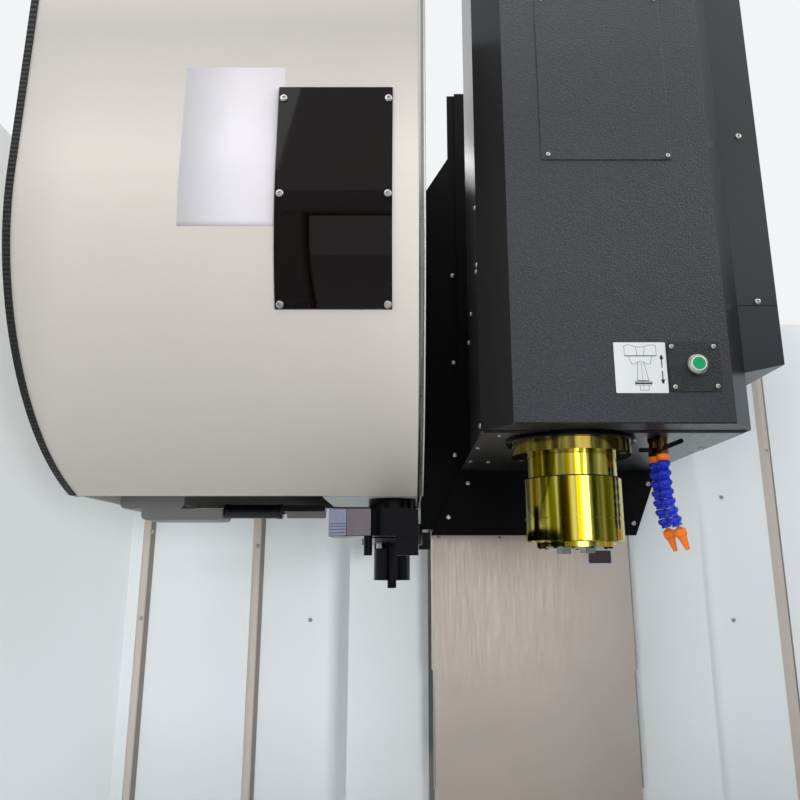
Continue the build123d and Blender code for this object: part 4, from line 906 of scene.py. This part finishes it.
screw_m3 = turned([(0, 0), (2.7, 0), (2.7, 2.6), (2.4, 3), (1.4, 3), (1.4, 1.2), (0, 1.2)], 14)
black_screws = bmesh.new()
for z in (1511, 1519, 1526.5, 1534):
    both_ends(black_screws, screw_m3, facing((-295.8, finger_y, z), to_front))
for x in (-267, -258, -249):
    both_ends(black_screws, screw_m3, facing((x, finger_y, 1501.5), to_front))
piece("gripper_screws", black_screws, black_oxide, "arm")
arm_screws = bmesh.new()
arm_bottom = Vector((0, 0, 1506))
for spot in around(arm_axis + arm_bottom, 38, 6):
    stamp(arm_screws, cap_screw, facing(spot, down))
piece("arm_screws", arm_screws, bright_steel, "arm")

# %% [markdown]
# The air cylinder that pushes the lowest pot down is a black anodised tube between two end caps, with its
# rod towards the changer and two push-in fittings for the air hoses. A guide plate with a small cover
# holds the rod.

# %% Pot cylinder
black_anodised = powder_coat("black_anodised_aluminium", "0C0D0F", 0.25, 4.0, 0.01)
pot_cylinder = bmesh.new()
tube = turned([
    (0, 0), (12.3, 0), (12.6, 0.6), (12.6, 9), (11.8, 9.6), (11.8, 90.4), (12.6, 91), (12.6, 100),
    (12.3, 100.6), (5, 100.6), (5, 104), (3.6, 104), (3.6, 158), (0, 158),
])
stamp(pot_cylinder, tube, facing((-575.2, 135, 1565.5), to_right))
fitting = turned([(0, 0), (4, 0), (4, 5), (3, 5.6), (3, 9), (0, 9)], 20)
for x in (-567, -482):
    stamp(pot_cylinder, fitting, facing((x, 123.5, 1566), to_front))
piece("pot_cylinder", pot_cylinder, black_anodised, "frame")
guide = box((-474.4, -398), (100, 131), (1563.5, 1573.5), corner=2, edge=0.6)
piece("rod_guide_plate", guide, black_anodised, "frame")
cover = box((-462, -396), (99, 104), (1552, 1563.5), corner=3, edge=0.6)
piece("rod_guide_cover", cover, grey_coat, "frame")

# %% [markdown]
# The control panel stands outside. Its screen is a dark glass in a moulded frame, its keys have printed
# caps in greys with a few in colour, and beside the screen are two rotary switches and the yellow collar of
# the stop button. The panel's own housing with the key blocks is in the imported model, so these are thin
# caps and discs on top of it.

# %% Control panel
panel_face = -985
screen_glass = pane("screen_glass", "0A1014", 0.05, 0.0, 0.5)
dark_housing = plastic("dark_panel_housing", "3A3E42", 0.45, depth=0.03)
glass = box((583, 815), (panel_face + 3, panel_face + 5), (1423, 1667), corner=3, edge=0.4)
piece("panel_screen", glass, screen_glass, "panel")
bar_y = (panel_face - 2.5, panel_face)
frame_bars = box_set([
    ((572, 584), bar_y, (1412, 1678)), ((814, 826), bar_y, (1412, 1678)),
    ((572, 826), bar_y, (1412, 1424)), ((572, 826), bar_y, (1666, 1678)),
], corner=1.5, edge=0.6)
piece("panel_screen_frame", frame_bars, dark_housing, "panel")

key_tilt = math.atan2(25, 240)
key_place = Matrix.Translation((0, panel_face - 12.5, 1260)) @ Matrix.Rotation(-key_tilt, 4, "X")
key_colours = {
    "light": plastic("light_key_cap", "D9DCDD", 0.4), "grey": plastic("grey_key_cap", "7B8186", 0.4),
    "green": plastic("green_key_cap", "0E8F5A", 0.3), "red": red_button,
}
key_groups = {name: bmesh.new() for name in key_colours}
key_step, row_step = 30, 38
key_cap = box((0.8, 21.2), (-3.15, -2.8), (-21.2, -0.8), corner=1.5)
for row in range(5):
    for number in range(8):
        kind = "grey" if row in (0, 4) else "light"
        kind = "green" if (row, number) == (0, 7) else kind
        kind = "red" if (row, number) == (0, 6) else kind
        spot = key_place @ Matrix.Translation((590 + key_step * number, 0, -68 + row_step * row))
        stamp(key_groups[kind], key_cap, spot)
for name, shape in key_groups.items():
    piece("keys_" + name, shape, key_colours[name], "panel")

knob_x = 878
knob = turned([(0, 0), (19, 0), (19, 2), (15, 3), (13.5, 16), (12, 18), (0, 18)], 40)
pointer = box((-1, 1), (3, 13), (17.6, 18.4))
knobs = bmesh.new()
pointers = bmesh.new()
for z in (1480, 1545):
    stamp(knobs, knob, facing((knob_x, panel_face, z), to_front))
    stamp(pointers, pointer, facing((knob_x, panel_face, z), to_front))
piece("panel_rotary_switches", knobs, dark_nylon, "panel")
piece("panel_switch_pointers", pointers, white_film, "panel")
yellow_ring = plastic("yellow_stop_collar", "E9C21A", 0.4)
stop_ring = turned([(21, 0), (31, 0), (31, 1.2), (30, 1.8), (21, 1.8)], 48)
stop_ring = moved(stop_ring, facing((knob_x, panel_face, 1630), to_front))
piece("stop_collar", stop_ring, yellow_ring, "panel")

# %% [markdown]
# A black rubber edge trim covers the cut edge of the sheet all round the door opening. The sheets of the
# enclosure are screwed together, with a row of screws along every edge, and each row is one loop.

# %% Enclosure trim and screws
door_rubber = plastic("black_edge_rubber", "17181A", 0.6, depth=0.03)
trim_y = (-922, -915)
opening_trim = box_set([
    ((-465, -458), trim_y, (950, 2000)), ((458, 465), trim_y, (950, 2000)),
    ((-465, 465), trim_y, (950, 957)), ((-465, 465), trim_y, (1993, 2000)),
], edge=1.2)
piece("door_opening_trim", opening_trim, door_rubber, "frame")

sunk_screw = turned([(0, 0), (4.5, 0), (4.5, 0.2), (2.2, 0.3), (2.2, 0.05), (0, 0.05)], 16)
sheet_screws = bmesh.new()
sheet_front, recess_half, wall_side = -920, 620, 959.8
for x in range(-900, 901, 225):
    for z in (160 if abs(x) > recess_half else 470, 905, 2030, 2120):
        stamp(sheet_screws, screw_m4, facing((x, sheet_front, z), to_front))
for side in (-1, 1):
    for y in range(-800, 581, 230):
        for z in (170, 900, 1500, 2110):
            stamp(sheet_screws, sunk_screw, facing((side * wall_side, y, z), (side, 0, 0)))
piece("enclosure_screws", sheet_screws, bright_steel, "frame")

# %% [markdown]
# The cabinet's door hangs on three lift-off hinges and is closed by two quarter-turn locks. The cabinet
# stands at the back, so these face the rear.

# %% Cabinet hinges and locks
cabinet_back = 1280
hinge = turned([(0, 0), (6, 0), (6, 26), (5.4, 26.6), (5.4, 27.4), (6, 28), (6, 54), (5, 55), (0, 55)], 20)
hardware = bmesh.new()
for z in (480, 1185, 1890):
    stamp(hardware, hinge, Matrix.Translation((-418, cabinet_back - 6, z)))
lock = turned([(0, 0), (14, 0), (14, 0.2), (13.4, 0.3), (5, 0.3), (4.4, 0.1), (0, 0.1)], 32)
for z in (800, 1600):
    stamp(hardware, lock, facing((385, cabinet_back, z), to_back))
piece("cabinet_hinges_and_locks", hardware, bright_steel, "frame")

# %% [markdown]
# The floor is a plain pale sheet that ends far behind the machine, where a pale world takes over, near white
# to the camera and to reflections and softer as a light. The two lamps that shine in at the door would burn
# out the front sheet on their way, so light linking leaves the outside out of them. The top lamp leaves out
# the side walls, whose top edges are the palest faces and look straight up at it. Three more lamps light one
# part each: the left and rear walls, which the drum and head shade, and the polished spindle housing,
# because a round polished part shows a tall lamp as an upright bright band.

# %% Floor and light
floor_size = 14.0
floor_mesh = bpy.data.meshes.new("floor")
shape = bmesh.new()
bmesh.ops.create_grid(shape, x_segments=1, y_segments=1, size=floor_size)
shape.to_mesh(floor_mesh)
shape.free()
floor = bpy.data.objects.new("floor", floor_mesh)
bpy.context.scene.collection.objects.link(floor)
floor_mesh.materials.append(powder_coat("floor_paint", "D8D9DA", 0.7, 40.0, 0.1))


def area_light(name, at, towards, size, watts, mirrored=True):
    """A square soft light at a place, in metres, aimed at another. Glossy faces may mirror it or not."""
    data = bpy.data.lights.new(name, "AREA")
    data.shape = "SQUARE"
    data.size = size
    data.energy = watts
    light = bpy.data.objects.new(name, data)
    bpy.context.scene.collection.objects.link(light)
    light.location = at
    light.rotation_euler = (Vector(towards) - Vector(at)).to_track_quat("-Z", "Y").to_euler()
    light.visible_glossy = mirrored
    return light


def link_parts(light, parts, state):
    """Makes a light reach only these parts (INCLUDE), or all but these (EXCLUDE)."""
    chosen = bpy.data.collections.new(light.name + "_parts")
    for part in parts:
        chosen.objects.link(part)
    for entry in chosen.collection_objects:
        entry.light_linking.link_state = state
    light.light_linking.receiver_collection = chosen


outside_names = "enclosure_front door_left door_right control_panel coolant_tank"
outside = [nodes[name] for name in outside_names.split()] + [floor]
for name, x, watts in (("left_door_light", -2.4, 120), ("right_door_light", 2.4, 192)):
    door_light = area_light(name, (x, -6.0, 1.1), (-x / 7, 0.6, 1.4), 1.8, watts, mirrored=False)
    link_parts(door_light, outside, "EXCLUDE")
for wall, at, towards, watts in (
    ("left", (2.3, -3.5, 1.5), (-0.9, 0.2, 1.5), 80), ("rear", (-1.2, -3.5, 1.3), (0.5, 0.45, 1.4), 24),
):
    wall_light = area_light(wall + "_wall_light", at, towards, 1.8, watts, mirrored=False)
    wall_light.data.use_shadow = False
    link_parts(wall_light, [nodes["enclosure_" + wall + "_wall"]], "INCLUDE")
area_light("front_light", (-2.2, -3.6, 5.4), (0, 0, 1.6), 3.0, 42)
area_light("side_light", (4.2, -1.6, 4.4), (0, 0, 1.6), 3.0, 60)
top_light = area_light("top_light", (0, -0.2, 5.6), (0, 0, 1.0), 2.5, 46)
link_parts(top_light, [nodes["enclosure_left_wall"], nodes["enclosure_right_wall"]], "EXCLUDE")
area_light("back_light", (-2.0, 4.2, 3.4), (0, 0, 1.3), 3.0, 60)
strip_light = area_light("strip_light", (0.55, -2.9, 1.5), (0.0, -0.1, 1.5), 1.4, 28)
link_parts(strip_light, [nodes["spindle_housing"]], "INCLUDE")
strip_light.data.shape = "RECTANGLE"
strip_light.data.size_y = 2.0


def pale_world():
    """A pale world: soft as a light, near white to the camera and in reflections."""
    world = bpy.data.worlds.new("pale_world")
    bpy.context.scene.world = world
    world.use_nodes = True
    tree = world.node_tree
    tree.nodes.clear()
    soft = add(tree, "ShaderNodeBackground", {"Color": linear("EEF1F4"), "Strength": 0.8})
    seen = add(tree, "ShaderNodeBackground", {"Color": linear("F2F4F5"), "Strength": 1.0})
    path = add(tree, "ShaderNodeLightPath")
    white = math_node(tree, "MAXIMUM", path.outputs["Is Camera Ray"], path.outputs["Is Glossy Ray"])
    mix = add(tree, "ShaderNodeMixShader", {0: white, 1: soft.outputs[0], 2: seen.outputs[0]})
    add(tree, "ShaderNodeOutputWorld", {"Surface": mix.outputs[0]})


pale_world()
bpy.context.scene.view_settings.view_transform = "Standard"
